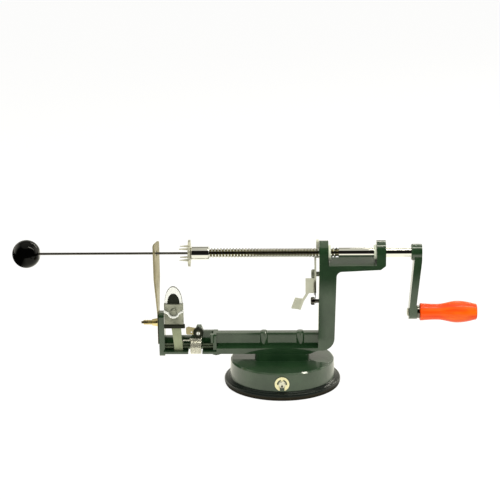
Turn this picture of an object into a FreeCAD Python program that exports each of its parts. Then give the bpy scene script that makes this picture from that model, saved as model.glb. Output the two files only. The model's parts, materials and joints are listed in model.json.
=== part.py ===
import FreeCAD, Part
import math
import os

# Tornado potato cutter, in millimetres. The origin is on the suction base's axis at the table.
# +X runs along the lead screw to the crank, -Y faces the operator, +Z is up.

V = FreeCAD.Vector
EPS = 0.01                     # how near an edge lies to the place it is picked by
PAST = 1.0                     # a cutter runs this far past the face it opens

# ---- fits
RUN = 0.08                     # radial clearance of a turning or sliding shaft in its bore
GAP = 0.3                      # side clearance between pieces that pass each other

# ---- suction base
HOUSING_R_FOOT = 53.0
HOUSING_R_TOP = HOUSING_R_FOOT - 0.9
HOUSING_FOOT_Z = 8.0
HOUSING_TOP_Z = 26.0
HOUSING_WALL = 2.5
HOUSING_EDGE = 1.4
PLINTH_X = 55.0
PLINTH_Y = 28.0
PLINTH_H = 7.0
PLINTH_CORNER_R = 5.0
CUP_R = HOUSING_R_FOOT + 5.8
CUP_SHOULDER_R = HOUSING_R_FOOT + 1.4
CUP_FOOT_R = CUP_R - 0.8
CUP_LIP_Z = 5.2
CUP_LIP_H = 3.0
CUP_BEAD_R = CUP_R - 1.4       # where the rounded bead turns in to the shoulder
CUP_BEAD_Z = 6.9
CUP_SHOULDER_H = 0.8
CUP_SEAT_H = 2.0
CUP_SEAT_W = 4.0
CUP_SKIN = 3.0
CUP_BOSS_R = 13.0
CUP_BOSS_H = 7.5

# ---- cam, axle and suction lever
AXLE_Z = 16.0
AXLE_R = 3.5
CAM_R = 5.3
CAM_THROW = 1.5
CAM_W = 8.0
AXLE_NOSE = 2.2                # axle end beyond the clip
CLIP_R = 7.2
CLIP_BORE_R = 2.7
CLIP_T = 1.0
CLIP_MOUTH = 4.6
CLIP_SLOT_R = 4.9              # outer radius of the slot that frees the two jaws
CLIP_JAW = 1.0                 # width of the tongue round the bore
CLIP_SPOKE_W = 2.4
CLIP_SLOT_DROP = 0.6           # the slot ends this far below the axle's middle
AXLE_EDGE = 0.7
AXLE_DIMPLE_R = 1.0
AXLE_DIMPLE_DEPTH = 0.8
STUD_ROD_R = 4.0
STUD_PLATE_R = 10.0
STUD_PLATE_H = 2.0
STUD_PLATE_Z = 3.2
STUD_YOKE_X = 18.0
YOKE_PLAY = 0.5                # slot play above and below the cam
YOKE_ROOF = 2.0
STUD_LIFT = 2 * CAM_THROW
PLINTH_POCKET_X = 22.0
PLINTH_POCKET_Y = 12.0
STUD_YOKE_Y = 7.0
LEVER_HUB_R = 7.0
LEVER_HUB_T = 5.0
LEVER_LEN = 44.0
LEVER_W = 9.0
LEVER_PAD_R = 7.5
LEVER_T = 3.5

# ---- places along the screw that follow the end post
POST_FACE_X = -118.3
BEAM_LEFT_X = POST_FACE_X + 52.3
RIB_X = POST_FACE_X + 48.1
UNDER_LUG_X = POST_FACE_X + 54.3
COIL_X = POST_FACE_X + 24.8
LATCH_X = POST_FACE_X + 34.1
ARM_X = POST_FACE_X + 13.8
HEAD_X = POST_FACE_X + 10.4
COLLAR_LEFT_X = POST_FACE_X + 27.5
SKEWER_FREE_X = COLLAR_LEFT_X - 151.2    # where the rod enters the ball

# ---- casting: beam
BEAM_BOTTOM_Z = HOUSING_TOP_Z + PLINTH_H
BEAM_DEPTH = 24.0
FLANGE_T = 5.8
WEB_T = 6.0
BEAM_TOP_Z = 52.8
BEAM_RIM_H = 2.4
BEAM_RIM_PROUD = 0.8
BEAM_FOOT_BEVEL = 8.0
BOSS_R = 4.9
BOSS_SPACING = 36.6
BOSS_TOP_Z = 53.8
SCREW_R = 2.4
SCREW_LEN_IN_BOSS = 12.0
SCREW_HEAD_R = 4.4
SCREW_HEAD_H = 3.0
RIB_TOP_R = 2.4
RIB_FOOT_R = 1.8
RIB_H = 9.0
UNDER_LUG_LEN = 18.0
UNDER_LUG_H = 3.2
UNDER_LUG_DEPTH = 13.0

# ---- casting: bay of the peeler arm, left of the beam
FLOOR_T = 2.3
END_WALL_T = 3.4
END_WALL_DEPTH = 18.0
BACK_WALL_Y = 6.0
BACK_WALL_T = 4.5
BACK_WALL_TOP_Z = 46.0
EAR_TOP_Z = 51.6
SPRING_NOTCH_GAP = 1.0

# ---- casting: end post
POST_T = 5.5
POST_DEPTH = 16.0
POST_BOTTOM_Z = 28.8
POST_TOP_Z = 74.0
POST_CORNER_R = 4.0

# ---- casting: column, bridge and bearing posts
AXIS_Z = 135.0
COLUMN_LEFT_X = 37.4
COLUMN_LEFT_FOOT_X = 36.0
COLUMN_RIGHT_X = 54.6
COLUMN_RIGHT_FOOT_X = 52.2
COLUMN_FOOT_Z = 36.2
COLUMN_FOOT_R = 13.0
CAST_DEPTH = 24.0
BRIDGE_TOP_Z = 123.9
BRIDGE_T_LEFT = 5.9
BRIDGE_T_RIGHT = 3.9
BRIDGE_FILLET_R = 5.5
FRONT_POST_T = 9.0
REAR_POST_X = 94.1
REAR_POST_T = 9.0
POST_CROWN_R = 12.0
BRIDGE_END_BEVEL = 5.0
CAST_EDGE = 1.0

# ---- lead screw, bushes, fork
SCREW_OUTER_R = 4.75
THREAD_END_X = 56.2
SHANK_R = 4.8
BUSH_R = 6.4
BUSH_FLANGE_R = 7.5
BUSH_FLANGE_T = 2.4
COLLAR_R = 6.5
COLLAR_LEN = 19.0
COLLAR_SOCKET = 8.5
COLLAR_NOSE_R = 3.6
FORK_R = 13.5
FORK_T = 2.0
FORK_NOTCHES = 12
FORK_NOTCH_R = 1.3
PRONG_COUNT = 4
PRONG_CIRCLE_R = 8.0
PRONG_LEN = 9.0
PRONG_W = 2.6

# ---- crank and grip
CRANK_HUB_X = 128.4
CRANK_HUB_T = 10.6
CRANK_HUB_R = 8.2
CRANK_STEP_T = 3.0
CRANK_ARM_T = 7.0
CRANK_LEAN = 4.0
CRANK_RADIUS = 62.0
CRANK_ARM_W_TOP = 15.0
CRANK_END_R = 7.2
SPIGOT_R = 3.4
SPINDLE_R = 2.6
SPINDLE_HEAD_R = 4.2
SPINDLE_HEAD_T = 1.4
WASHER_R = 6.4
WASHER_T = 2.8
GRIP_LEN = 57.0
GRIP_R_NECK = 8.75
GRIP_R_WAIST = 7.9
GRIP_R_BELLY = 10.9
GRIP_R_END = 7.6
GRIP_WAIST_AT = 0.3
GRIP_BELLY_AT = 0.66
GRIP_BANDS = 9
GRIP_EDGE = 1.4
GRIP_SCREW_R = 4.6
GRIP_SCREW_H = 2.0

# ---- skewer
SKEWER_R = 1.2
BALL_R = 14.0
BALL_FLAT_OFF = 13.0           # ball centre to its flat
BALL_BANDS = 10
SKEWER_IN_BALL = 16.0
SKEWER_IN_COLLAR = 8.0

# ---- slicing blade with its stud and wing nut
BLADE_T = 1.2
BLADE_FOOT_Z = 42.0
BLADE_TOP_Z = 146.0
BLADE_W_FOOT = 15.0
BLADE_W_TOP = 20.0
BLADE_SHIFT = 0.7              # how far the strip leans out to the left
BLADE_TWIST = -11.0            # degrees, with the ground edge turned to the left
BLADE_BEND_H = 36.0            # height over which it reaches them
BLADE_GRIND = 2.6              # width of the ground edge
BLADE_EDGE_T = 0.15
BLADE_CORNER = 6.0
BLADE_EYE_R = 3.0
BLADE_STUD_Z = 63.0
STUD_R = 2.5
STUD_OUT = 15.0                # stud length beyond the blade
WING_HUB_R = 4.3
WING_HUB_T = 6.0
WING_SPAN = 11.5
WING_T = 2.4
WING_FLARE = 16.0
WING_TILT = -18.0              # degrees about the stud

# ---- peeler arm
ROD_Y = -3.0
ROD_Z = 38.5
ROD_R = 3.0
ARM_LEAN = 6.0                 # degrees towards the operator at rest
ARM_HUB_R = 5.0
ARM_HUB_LEN = 8.5
ARM_STRIP_T = 2.5
ARM_STRIP_W_TOP = 9.8
ARM_STRIP_SHIFT = -1.9         # the strip leans to the left by this much at its top
ARM_STRIP_TOP = 27.1           # strip height above the rod
HEAD_W = 19.1
HEAD_H = 21.7
HEAD_T = 5.0
CROSSBAR_W = 21.0
CROSSBAR_H = 3.9
CROSSBAR_PROUD = 1.4
CROSSBAR_SHIFT = 0.4           # to the right of the head's middle
HEAD_SCREW_R = 3.5
HEAD_SCREW_T = 1.8
HEAD_SCREW_UP = 41.2           # height above the rod
HEAD_SCREW_SHANK_R = 1.8
EDGE_T = 1.1
EDGE_DEPTH = 3.6
EDGE_LOOP_R = 5.9
GUARD_W = 17.8
GUARD_H = 18.1
GUARD_T = 2.6
GUARD_BACK = 2.4               # the guard stands this far behind the head's front face
GUARD_POCKET = 1.0
GUARD_STEPS = 14               # straight stretches of an arch
INSERT_W = 11.8
INSERT_H = 10.6
INSERT_PROUD = 0.6

# ---- peeler spring
COIL_R = 8.2
COIL_WIRE = 1.35
COIL_TURNS = 9
LEG_R = 0.62
LEG_ANGLE = 16.0               # degrees from the arm to the leg that pushes it

# ---- latch of the peeler arm
LATCH_Z = 53.8
LATCH_R = 5.2
LATCH_NIB_R = 1.2
LATCH_EDGE = 0.9
LATCH_T = 4.6
LATCH_FRONT_Y = -8.0
LATCH_PIN_R = 1.7
LATCH_BOSS_R = 3.4
HOOK_H = 8.0
HOOK_DROP = 2.4                # the plate starts this far below the knob's middle
HOOK_T = 1.8
HOOK_EYE = 1.5

# ---- release lever with its half nut
LEVER_PIVOT_Z = 112.9
PLATE_T = 1.8
NUT_T = 2.7
PLATE_EYE_R = 6.2
NUT_TOP_Z = 146.0
NUT_BOTTOM_Z = 129.0
NUT_NEAR_Y = 1.6
NUT_FAR_Y = 10.0
PIVOT_HEAD_R = 4.7
PIVOT_HEAD_T = 3.2
PIVOT_SHANK_R = 2.4
TAB_Y = -5.2
TAB_T = 1.5
TAB_W = 9.0
TAB_TOP_Z = 109.7
TAB_BOTTOM_Z = 94.5
NECK_IN = 0.7                  # from the tab's left edge
NECK_DROP = 7.5
NECK_SHIFT = 4.6
NECK_W = 2.8
THUMB_W = 8.4
THUMB_LEN = 11.6
THUMB_TILT = 20.0              # degrees
THUMB_RETURN = 2.2
THUMB_FOLD = 35.0              # degrees
THUMB_RISE = 0.8               # the pad starts this far above the neck's end
PULL_SCREW_Z = 86.8
PULL_SCREW_R = 4.0
PULL_SCREW_HEAD_T = 3.9
PULL_SCREW_OUT = 8.6
PULL_SCREW_SHANK_R = 1.9
PULL_R = 1.15
PULL_WIRE_R = 0.35
PULL_X = 33.0
PULL_Y = TAB_Y - PULL_R - 0.15
PULL_TAIL = 3.8                # straight end between the coil and the screw
PULL_TAIL_X = PULL_X + PULL_R - PULL_WIRE_R
PULL_HOLE_DOWN = 2.2           # from the tab's top edge to the hole for the upper hook
PULL_HOOK = 1.2                # straight end between the coil and the hole


# ---------------------------------------------------------------- helpers
def block(x0, x1, y0, y1, z0, z1):
    return Part.makeBox(x1 - x0, y1 - y0, z1 - z0, V(x0, y0, z0))


def rod_x(r, x0, x1, y, z):
    return Part.makeCylinder(r, x1 - x0, V(x0, y, z), V(1, 0, 0))


def rod_y(r, y0, y1, x, z):
    return Part.makeCylinder(r, y1 - y0, V(x, y0, z), V(0, 1, 0))


def rod_z(r, z0, z1, x=0.0, y=0.0):
    return Part.makeCylinder(r, z1 - z0, V(x, y, z0), V(0, 0, 1))


def plate_xz(points, y0, y1):
    """A plate with its outline in X and Z, from y0 to y1."""
    wire = Part.makePolygon([V(x, y0, z) for x, z in points + points[:1]])
    return Part.Face(wire).extrude(V(0, y1 - y0, 0))


def plate_yz(points, x0, x1):
    """A plate with its outline in Y and Z, from x0 to x1."""
    wire = Part.makePolygon([V(x0, y, z) for y, z in points + points[:1]])
    return Part.Face(wire).extrude(V(x1 - x0, 0, 0))


def turned(profile, centre, axis, side):
    """A solid of revolution: profile holds (along, radius) pairs, with the ends closed to the axis."""
    wire = Part.makePolygon([centre + axis * a + side * r for a, r in profile + profile[:1]])
    return Part.Face(wire).revolve(centre, axis, 360)


def edges_along(shape, direction, test):
    """Straight edges of shape that run along direction and whose middle passes test."""
    found = []
    for e in shape.Edges:
        if isinstance(e.Curve, Part.Line) and e.Curve.Direction.cross(direction).Length < 1e-4:
            if test(e.CenterOfMass):
                found.append(e)
    return found


def join(*shapes):
    first = shapes[0]
    return first.multiFuse(list(shapes[1:])).removeSplitter()


# ---------------------------------------------------------------- suction base
def housing_radius(z):
    """Outer radius of the tapered wall at height z."""
    share = (z - HOUSING_FOOT_Z) / (HOUSING_TOP_Z - HOUSING_FOOT_Z)
    return HOUSING_R_FOOT + (HOUSING_R_TOP - HOUSING_R_FOOT) * share


def base_housing():
    outer = Part.makeCone(HOUSING_R_FOOT, HOUSING_R_TOP, HOUSING_TOP_Z - HOUSING_FOOT_Z,
                          V(0, 0, HOUSING_FOOT_Z))
    rim = [e for e in outer.Edges if abs(e.CenterOfMass.z - HOUSING_TOP_Z) < EPS]
    outer = outer.makeChamfer(HOUSING_EDGE, rim)
    inner = rod_z(HOUSING_R_TOP - HOUSING_WALL, HOUSING_FOOT_Z - PAST, HOUSING_TOP_Z - HOUSING_WALL)
    plinth = block(-PLINTH_X / 2, PLINTH_X / 2, -PLINTH_Y / 2, PLINTH_Y / 2,
                   HOUSING_TOP_Z - HOUSING_WALL, BEAM_BOTTOM_Z)
    plinth = plinth.makeFillet(PLINTH_CORNER_R, edges_along(plinth, V(0, 0, 1), lambda c: True))
    shell = join(outer.cut(inner), plinth)
    shell = shell.cut(rod_y(AXLE_R + RUN, -CUP_R, CUP_R, 0, AXLE_Z))
    roof = HOUSING_TOP_Z - HOUSING_WALL
    pocket_top = yoke_top() + STUD_LIFT + GAP
    shell = shell.cut(block(-PLINTH_POCKET_X / 2, PLINTH_POCKET_X / 2, -PLINTH_POCKET_Y / 2,
                            PLINTH_POCKET_Y / 2, roof - PAST, pocket_top))
    for x in boss_places():
        shell = shell.cut(rod_z(SCREW_R + GAP, HOUSING_FOOT_Z, BEAM_BOTTOM_Z + PAST, x))
    return shell


def boss_places():
    return [-BOSS_SPACING / 2, BOSS_SPACING / 2]


def base_screws():
    under = HOUSING_TOP_Z - HOUSING_WALL
    screws = []
    for x in boss_places():
        shank = rod_z(SCREW_R, under, BEAM_BOTTOM_Z + SCREW_LEN_IN_BOSS, x)
        head = rod_z(SCREW_HEAD_R, under - SCREW_HEAD_H, under, x)
        screws.append(join(shank, head))
    return Part.makeCompound(screws)


def suction_cup():
    seat_r = HOUSING_R_TOP - HOUSING_WALL - GAP / 2
    outline = [(0, 0), (CUP_FOOT_R, 0), (CUP_R, CUP_LIP_Z - CUP_LIP_H), (CUP_R, CUP_LIP_Z), (CUP_BEAD_R, CUP_BEAD_Z),
               (CUP_SHOULDER_R + CUP_SHOULDER_H, HOUSING_FOOT_Z - CUP_SHOULDER_H),
               (CUP_SHOULDER_R, HOUSING_FOOT_Z), (seat_r, HOUSING_FOOT_Z),
               (seat_r, HOUSING_FOOT_Z + CUP_SEAT_H), (seat_r - CUP_SEAT_W, HOUSING_FOOT_Z + CUP_SEAT_H),
               (seat_r - CUP_SEAT_W, CUP_SKIN), (CUP_BOSS_R, CUP_SKIN), (CUP_BOSS_R, CUP_BOSS_H),
               (0, CUP_BOSS_H)]
    cup = turned([(z, r) for r, z in outline], V(0, 0, 0), V(0, 0, 1), V(1, 0, 0))
    pocket = join(rod_z(STUD_PLATE_R, STUD_PLATE_Z, STUD_PLATE_Z + STUD_PLATE_H),
                  rod_z(STUD_ROD_R, STUD_PLATE_Z, CUP_BOSS_H + PAST))
    return cup.cut(pocket)


def yoke_top():
    """Top of the stud's slotted head with the suction released."""
    return AXLE_Z - CAM_THROW + CAM_R + YOKE_PLAY + YOKE_ROOF


def pull_stud():
    """Plate in the cup, rod, and a slotted head that the cam lifts."""
    slot_low = AXLE_Z - CAM_THROW - CAM_R - YOKE_PLAY
    plate = rod_z(STUD_PLATE_R, STUD_PLATE_Z, STUD_PLATE_Z + STUD_PLATE_H)
    rod = rod_z(STUD_ROD_R, STUD_PLATE_Z, slot_low)
    yoke = block(-STUD_YOKE_X / 2, STUD_YOKE_X / 2, -STUD_YOKE_Y / 2, STUD_YOKE_Y / 2,
                 slot_low - 1, yoke_top())
    slot = CAM_R + CAM_THROW + GAP
    window = block(-slot, slot, -STUD_YOKE_Y, STUD_YOKE_Y, slot_low, yoke_top() - YOKE_ROOF)
    return join(plate, rod, yoke).cut(window)


def wall_y():
    """Distance from the base axis to the outside of the wall beside the clip and the lever's hub."""
    return housing_radius(AXLE_Z - CLIP_R)


def cam_axle():
    front = -(wall_y() + GAP + CLIP_T + AXLE_NOSE)
    back = wall_y() + GAP + LEVER_HUB_T
    axle = rod_y(AXLE_R, front, back, 0, AXLE_Z)
    axle = axle.makeChamfer(AXLE_EDGE, [e for e in axle.Edges if abs(e.CenterOfMass.y - front) < EPS])
    groove_y = -(wall_y() + GAP + CLIP_T)
    groove = rod_y(AXLE_R + PAST, groove_y, groove_y + CLIP_T, 0, AXLE_Z)
    groove = groove.cut(rod_y(CLIP_BORE_R, groove_y, groove_y + CLIP_T, 0, AXLE_Z))
    dimple = rod_y(AXLE_DIMPLE_R, front, front + AXLE_DIMPLE_DEPTH, 0, AXLE_Z)
    cam = rod_y(CAM_R, -CAM_W / 2, CAM_W / 2, 0, AXLE_Z - CAM_THROW)
    return join(axle, cam).cut(groove).cut(dimple)


def axle_clip():
    """E-clip: a ring with its mouth down, and a tongue that hangs from its crown onto the groove."""
    y = -(wall_y() + GAP + CLIP_T)
    disc = rod_y(CLIP_R, y, y + CLIP_T, 0, AXLE_Z)
    bore = rod_y(CLIP_BORE_R, y, y + CLIP_T, 0, AXLE_Z)
    mouth = block(-CLIP_MOUTH / 2, CLIP_MOUTH / 2, y, y + CLIP_T, AXLE_Z - CLIP_R - PAST, AXLE_Z)
    above = block(-CLIP_R, CLIP_R, y, y + CLIP_T, AXLE_Z - CLIP_SLOT_DROP, AXLE_Z + CLIP_R)
    slot = rod_y(CLIP_SLOT_R, y, y + CLIP_T, 0, AXLE_Z).common(above)
    half = CLIP_SPOKE_W / 2
    tongue = block(-half, half, y, y + CLIP_T, AXLE_Z, AXLE_Z + CLIP_R - CLIP_JAW)
    return disc.cut(slot.cut(tongue)).cut(bore).cut(mouth)


def suction_lever():
    y0 = wall_y() + GAP
    hub = rod_y(LEVER_HUB_R, y0, y0 + LEVER_HUB_T, 0, AXLE_Z)
    half = LEVER_W / 2
    arm = plate_xz([(0, AXLE_Z - half), (LEVER_LEN - LEVER_PAD_R, AXLE_Z - half * 0.8),
                    (LEVER_LEN - LEVER_PAD_R, AXLE_Z + half * 0.8), (0, AXLE_Z + half)],
                   y0 + LEVER_HUB_T - LEVER_T, y0 + LEVER_HUB_T)
    pad = rod_y(LEVER_PAD_R, y0 + LEVER_HUB_T - LEVER_T, y0 + LEVER_HUB_T, LEVER_LEN - LEVER_PAD_R, AXLE_Z)
    lever = join(hub, arm, pad)
    return lever.cut(rod_y(AXLE_R, y0, y0 + LEVER_HUB_T, 0, AXLE_Z))


# ---------------------------------------------------------------- casting
def beam():
    half = BEAM_DEPTH / 2
    web = WEB_T / 2
    z1 = BEAM_BOTTOM_Z + FLANGE_T
    section = [(-half, BEAM_BOTTOM_Z), (half, BEAM_BOTTOM_Z), (half, z1), (web, z1 + 1.0),
               (web, BEAM_TOP_Z - BEAM_RIM_H), (web + BEAM_RIM_PROUD, BEAM_TOP_Z - BEAM_RIM_H + 0.5),
               (web + BEAM_RIM_PROUD, BEAM_TOP_Z), (-web - BEAM_RIM_PROUD, BEAM_TOP_Z),
               (-web - BEAM_RIM_PROUD, BEAM_TOP_Z - BEAM_RIM_H + 0.5), (-web, BEAM_TOP_Z - BEAM_RIM_H),
               (-web, z1 + 1.0), (-half, z1)]
    solid = plate_yz(section, BEAM_LEFT_X, COLUMN_LEFT_X + 2)
    bevel = plate_xz([(COLUMN_LEFT_FOOT_X - BEAM_FOOT_BEVEL, BEAM_BOTTOM_Z - 1),
                      (COLUMN_LEFT_FOOT_X - BEAM_FOOT_BEVEL, BEAM_BOTTOM_Z),
                      (COLUMN_LEFT_FOOT_X, COLUMN_FOOT_Z), (COLUMN_LEFT_FOOT_X + 6, COLUMN_FOOT_Z),
                      (COLUMN_LEFT_FOOT_X + 6, BEAM_BOTTOM_Z - 1)], -half - 1, half + 1)
    return solid.cut(bevel)


def beam_bosses():
    bosses = []
    for x in boss_places():
        boss = rod_z(BOSS_R, BEAM_BOTTOM_Z + 1, BOSS_TOP_Z, x)
        bosses.append(boss.makeChamfer(1.6, [e for e in boss.Edges if e.CenterOfMass.z > BOSS_TOP_Z - EPS]))
    rib = Part.makeCone(RIB_FOOT_R, RIB_TOP_R, RIB_H, V(RIB_X, -END_WALL_DEPTH / 2 + 1, BEAM_TOP_Z - RIB_H))
    return bosses + [rib]


def under_lug():
    """Rounded lug under the left end of the beam."""
    x0, x1 = UNDER_LUG_X - UNDER_LUG_LEN / 2, UNDER_LUG_X + UNDER_LUG_LEN / 2
    low = BEAM_BOTTOM_Z - UNDER_LUG_H
    z = BEAM_BOTTOM_Z + 1
    points = [(x0, z), (x0 + 3, low + 0.8), (x0 + 6, low), (x0 + 9, low + 0.5), (x1, z)]
    return plate_xz(points, -UNDER_LUG_DEPTH / 2, UNDER_LUG_DEPTH / 2)


def arm_bay():
    """Floor, back wall with its ear, and the wall that closes the beam, round the peeler arm."""
    half = BEAM_DEPTH / 2
    back = BACK_WALL_Y + BACK_WALL_T
    floor = block(POST_FACE_X - 1, BEAM_LEFT_X + 1, -half, back, BEAM_BOTTOM_Z, BEAM_BOTTOM_Z + FLOOR_T)
    coil_end = COIL_X + COIL_WIRE * COIL_TURNS
    notch = block(COIL_X - SPRING_NOTCH_GAP, coil_end + SPRING_NOTCH_GAP, -half - 1, BACK_WALL_Y,
                  BEAM_BOTTOM_Z - 1, BEAM_BOTTOM_Z + FLOOR_T + 1)
    wall = plate_xz([(POST_FACE_X - 1, BEAM_BOTTOM_Z), (BEAM_LEFT_X + 1, BEAM_BOTTOM_Z),
                     (BEAM_LEFT_X + 1, EAR_TOP_Z), (LATCH_X + 4.5, EAR_TOP_Z),
                     (LATCH_X + 2.2, LATCH_Z + LATCH_BOSS_R), (LATCH_X - 2.2, LATCH_Z + LATCH_BOSS_R),
                     (LATCH_X - 8, BACK_WALL_TOP_Z), (POST_FACE_X - 1, BACK_WALL_TOP_Z)],
                    BACK_WALL_Y, back)
    boss = rod_y(LATCH_BOSS_R, LATCH_FRONT_Y + LATCH_T + 0.1, BACK_WALL_Y + 1, LATCH_X, LATCH_Z)
    end = block(BEAM_LEFT_X - END_WALL_T, BEAM_LEFT_X, -END_WALL_DEPTH / 2, END_WALL_DEPTH / 2,
                BEAM_BOTTOM_Z, BEAM_TOP_Z)
    end = end.makeFillet(2.0, edges_along(end, V(1, 0, 0), lambda c: c.z > BEAM_TOP_Z - EPS))
    hub_half = ARM_HUB_LEN / 2 + GAP
    hub_room = rod_x(ARM_HUB_R + GAP, ARM_X - hub_half, ARM_X + hub_half, ROD_Y, ROD_Z)
    return join(floor.cut(notch).cut(hub_room), wall, boss, end)


def end_post():
    post = block(POST_FACE_X - POST_T, POST_FACE_X, -POST_DEPTH / 2, POST_DEPTH / 2,
                 POST_BOTTOM_Z, POST_TOP_Z)
    return post.makeFillet(POST_CORNER_R, edges_along(post, V(1, 0, 0), lambda c: True))


def column():
    """Column, bridge and both bearing posts in one outline, with round crowns on the posts."""
    half = CAST_DEPTH / 2
    front_end = COLUMN_LEFT_X + FRONT_POST_T
    rear_end = REAR_POST_X + REAR_POST_T
    crown = AXIS_Z + POST_CROWN_R
    low_left = BRIDGE_TOP_Z - BRIDGE_T_LEFT
    low_right = BRIDGE_TOP_Z - BRIDGE_T_RIGHT
    outline = [(COLUMN_LEFT_FOOT_X, COLUMN_FOOT_Z), (COLUMN_RIGHT_FOOT_X, COLUMN_FOOT_Z),
               (COLUMN_RIGHT_X, low_left), (rear_end - BRIDGE_END_BEVEL, low_right),
               (rear_end, low_right + BRIDGE_END_BEVEL * 0.8), (rear_end, crown), (REAR_POST_X, crown),
               (REAR_POST_X, BRIDGE_TOP_Z), (front_end, BRIDGE_TOP_Z), (front_end, crown),
               (COLUMN_LEFT_X, crown), (COLUMN_LEFT_X, low_left)]
    solid = plate_xz(outline, -half, half)
    corner = edges_along(solid, V(0, 1, 0), lambda c: c.x > COLUMN_RIGHT_FOOT_X - EPS and c.z < COLUMN_FOOT_Z + EPS)
    solid = solid.makeFillet(COLUMN_FOOT_R, corner)
    armpit = edges_along(solid, V(0, 1, 0), lambda c: abs(c.x - COLUMN_RIGHT_X) < EPS and c.z > 100)
    solid = solid.makeFillet(BRIDGE_FILLET_R, armpit)
    inner = edges_along(solid, V(0, 1, 0), lambda c: abs(c.z - BRIDGE_TOP_Z) < EPS)
    solid = solid.makeFillet(2.0, inner)
    keep = join(rod_x(POST_CROWN_R, COLUMN_LEFT_FOOT_X - 5, rear_end + 5, 0, AXIS_Z),
                block(COLUMN_LEFT_FOOT_X - 5, rear_end + 5, -half, half, 0, AXIS_Z))
    return solid.common(keep)


def frame_casting():
    body = join(beam(), *beam_bosses(), under_lug(), arm_bay(), end_post(), column())
    rear_end = REAR_POST_X + REAR_POST_T
    body = body.cut(rod_x(BUSH_R, COLUMN_LEFT_FOOT_X - 5, rear_end + 5, 0, AXIS_Z))
    body = body.cut(rod_x(STUD_R, POST_FACE_X - POST_T - 1, POST_FACE_X + 1, 0, BLADE_STUD_Z))
    body = body.cut(rod_x(ROD_R, POST_FACE_X - POST_T + 1.5, BEAM_LEFT_X + 1, ROD_Y, ROD_Z))
    body = body.cut(rod_y(LATCH_PIN_R, LATCH_FRONT_Y, BACK_WALL_Y + BACK_WALL_T + 1, LATCH_X, LATCH_Z))
    hole = COLUMN_LEFT_X + 12
    body = body.cut(rod_x(PIVOT_SHANK_R, COLUMN_LEFT_FOOT_X - 5, hole, 0, LEVER_PIVOT_Z))
    body = body.cut(rod_x(PULL_SCREW_SHANK_R, COLUMN_LEFT_FOOT_X - 5, hole, PULL_Y, PULL_SCREW_Z))
    for x in boss_places():
        body = body.cut(rod_z(SCREW_R, BEAM_BOTTOM_Z - 1, BEAM_BOTTOM_Z + SCREW_LEN_IN_BOSS, x))
    return body


# ---------------------------------------------------------------- lead screw and fork
def bearing_bush(x0, x1, flange_right):
    tube = rod_x(BUSH_R, x0, x1, 0, AXIS_Z)
    if flange_right:
        flange = rod_x(BUSH_FLANGE_R, x1, x1 + BUSH_FLANGE_T, 0, AXIS_Z)
    else:
        flange = rod_x(BUSH_FLANGE_R, x0 - BUSH_FLANGE_T, x0, 0, AXIS_Z)
    bore = rod_x(SHANK_R + RUN, x0 - 5, x1 + 5, 0, AXIS_Z)
    return join(tube, flange).cut(bore)


def screw_left_x():
    return COLLAR_LEFT_X + COLLAR_LEN - COLLAR_SOCKET


def lead_screw():
    thread = rod_x(SCREW_OUTER_R, screw_left_x(), THREAD_END_X, 0, AXIS_Z)
    shank = rod_x(SHANK_R, THREAD_END_X, CRANK_HUB_X, 0, AXIS_Z)
    spigot = rod_x(SPIGOT_R, CRANK_HUB_X, CRANK_HUB_X + CRANK_HUB_T, 0, AXIS_Z)
    return join(thread, shank, spigot)


def fork_collar():
    right = COLLAR_LEFT_X + COLLAR_LEN
    sleeve = rod_x(COLLAR_R, COLLAR_LEFT_X, right, 0, AXIS_Z)
    sleeve = sleeve.makeChamfer(1.2, [e for e in sleeve.Edges if abs(e.CenterOfMass.x - COLLAR_LEFT_X) < EPS])
    sleeve = sleeve.makeChamfer(0.8, [e for e in sleeve.Edges if abs(e.CenterOfMass.x - right) < EPS])
    nose = rod_x(COLLAR_NOSE_R, COLLAR_LEFT_X - FORK_T, COLLAR_LEFT_X + 1, 0, AXIS_Z)
    socket = rod_x(SCREW_OUTER_R, screw_left_x(), right + 1, 0, AXIS_Z)
    bore = rod_x(SKEWER_R + RUN, COLLAR_LEFT_X - FORK_T - 1, COLLAR_LEFT_X + SKEWER_IN_COLLAR, 0, AXIS_Z)
    return join(sleeve, nose).cut(socket).cut(bore)


def fork():
    x1 = COLLAR_LEFT_X
    x0 = x1 - FORK_T
    disc = rod_x(FORK_R, x0, x1, 0, AXIS_Z)
    for i in range(FORK_NOTCHES):
        a = 2 * math.pi * (i + 0.5) / FORK_NOTCHES
        y, z = FORK_R * math.cos(a), AXIS_Z + FORK_R * math.sin(a)
        disc = disc.cut(rod_x(FORK_NOTCH_R, x0 - 1, x1 + 1, y, z))
    disc = disc.cut(rod_x(COLLAR_NOSE_R, x0 - 1, x1 + 1, 0, AXIS_Z))
    half = PRONG_W / 2
    for i in range(PRONG_COUNT):
        points = [(x0 - PRONG_LEN, AXIS_Z + PRONG_CIRCLE_R), (x0 + 0.5, AXIS_Z + PRONG_CIRCLE_R - half),
                  (x0 + 0.5, AXIS_Z + PRONG_CIRCLE_R + half)]
        prong = plate_xz(points, -0.7, 0.7)
        prong.rotate(V(0, 0, AXIS_Z), V(1, 0, 0), 45 + 360 / PRONG_COUNT * i)
        disc = disc.fuse(prong)
    return disc.removeSplitter()


# ---------------------------------------------------------------- crank and grip
def crank_pin_z():
    return AXIS_Z - CRANK_RADIUS


def crank_foot_x():
    """Left face of the arm at its lower end."""
    return CRANK_HUB_X + CRANK_STEP_T - CRANK_LEAN


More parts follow.
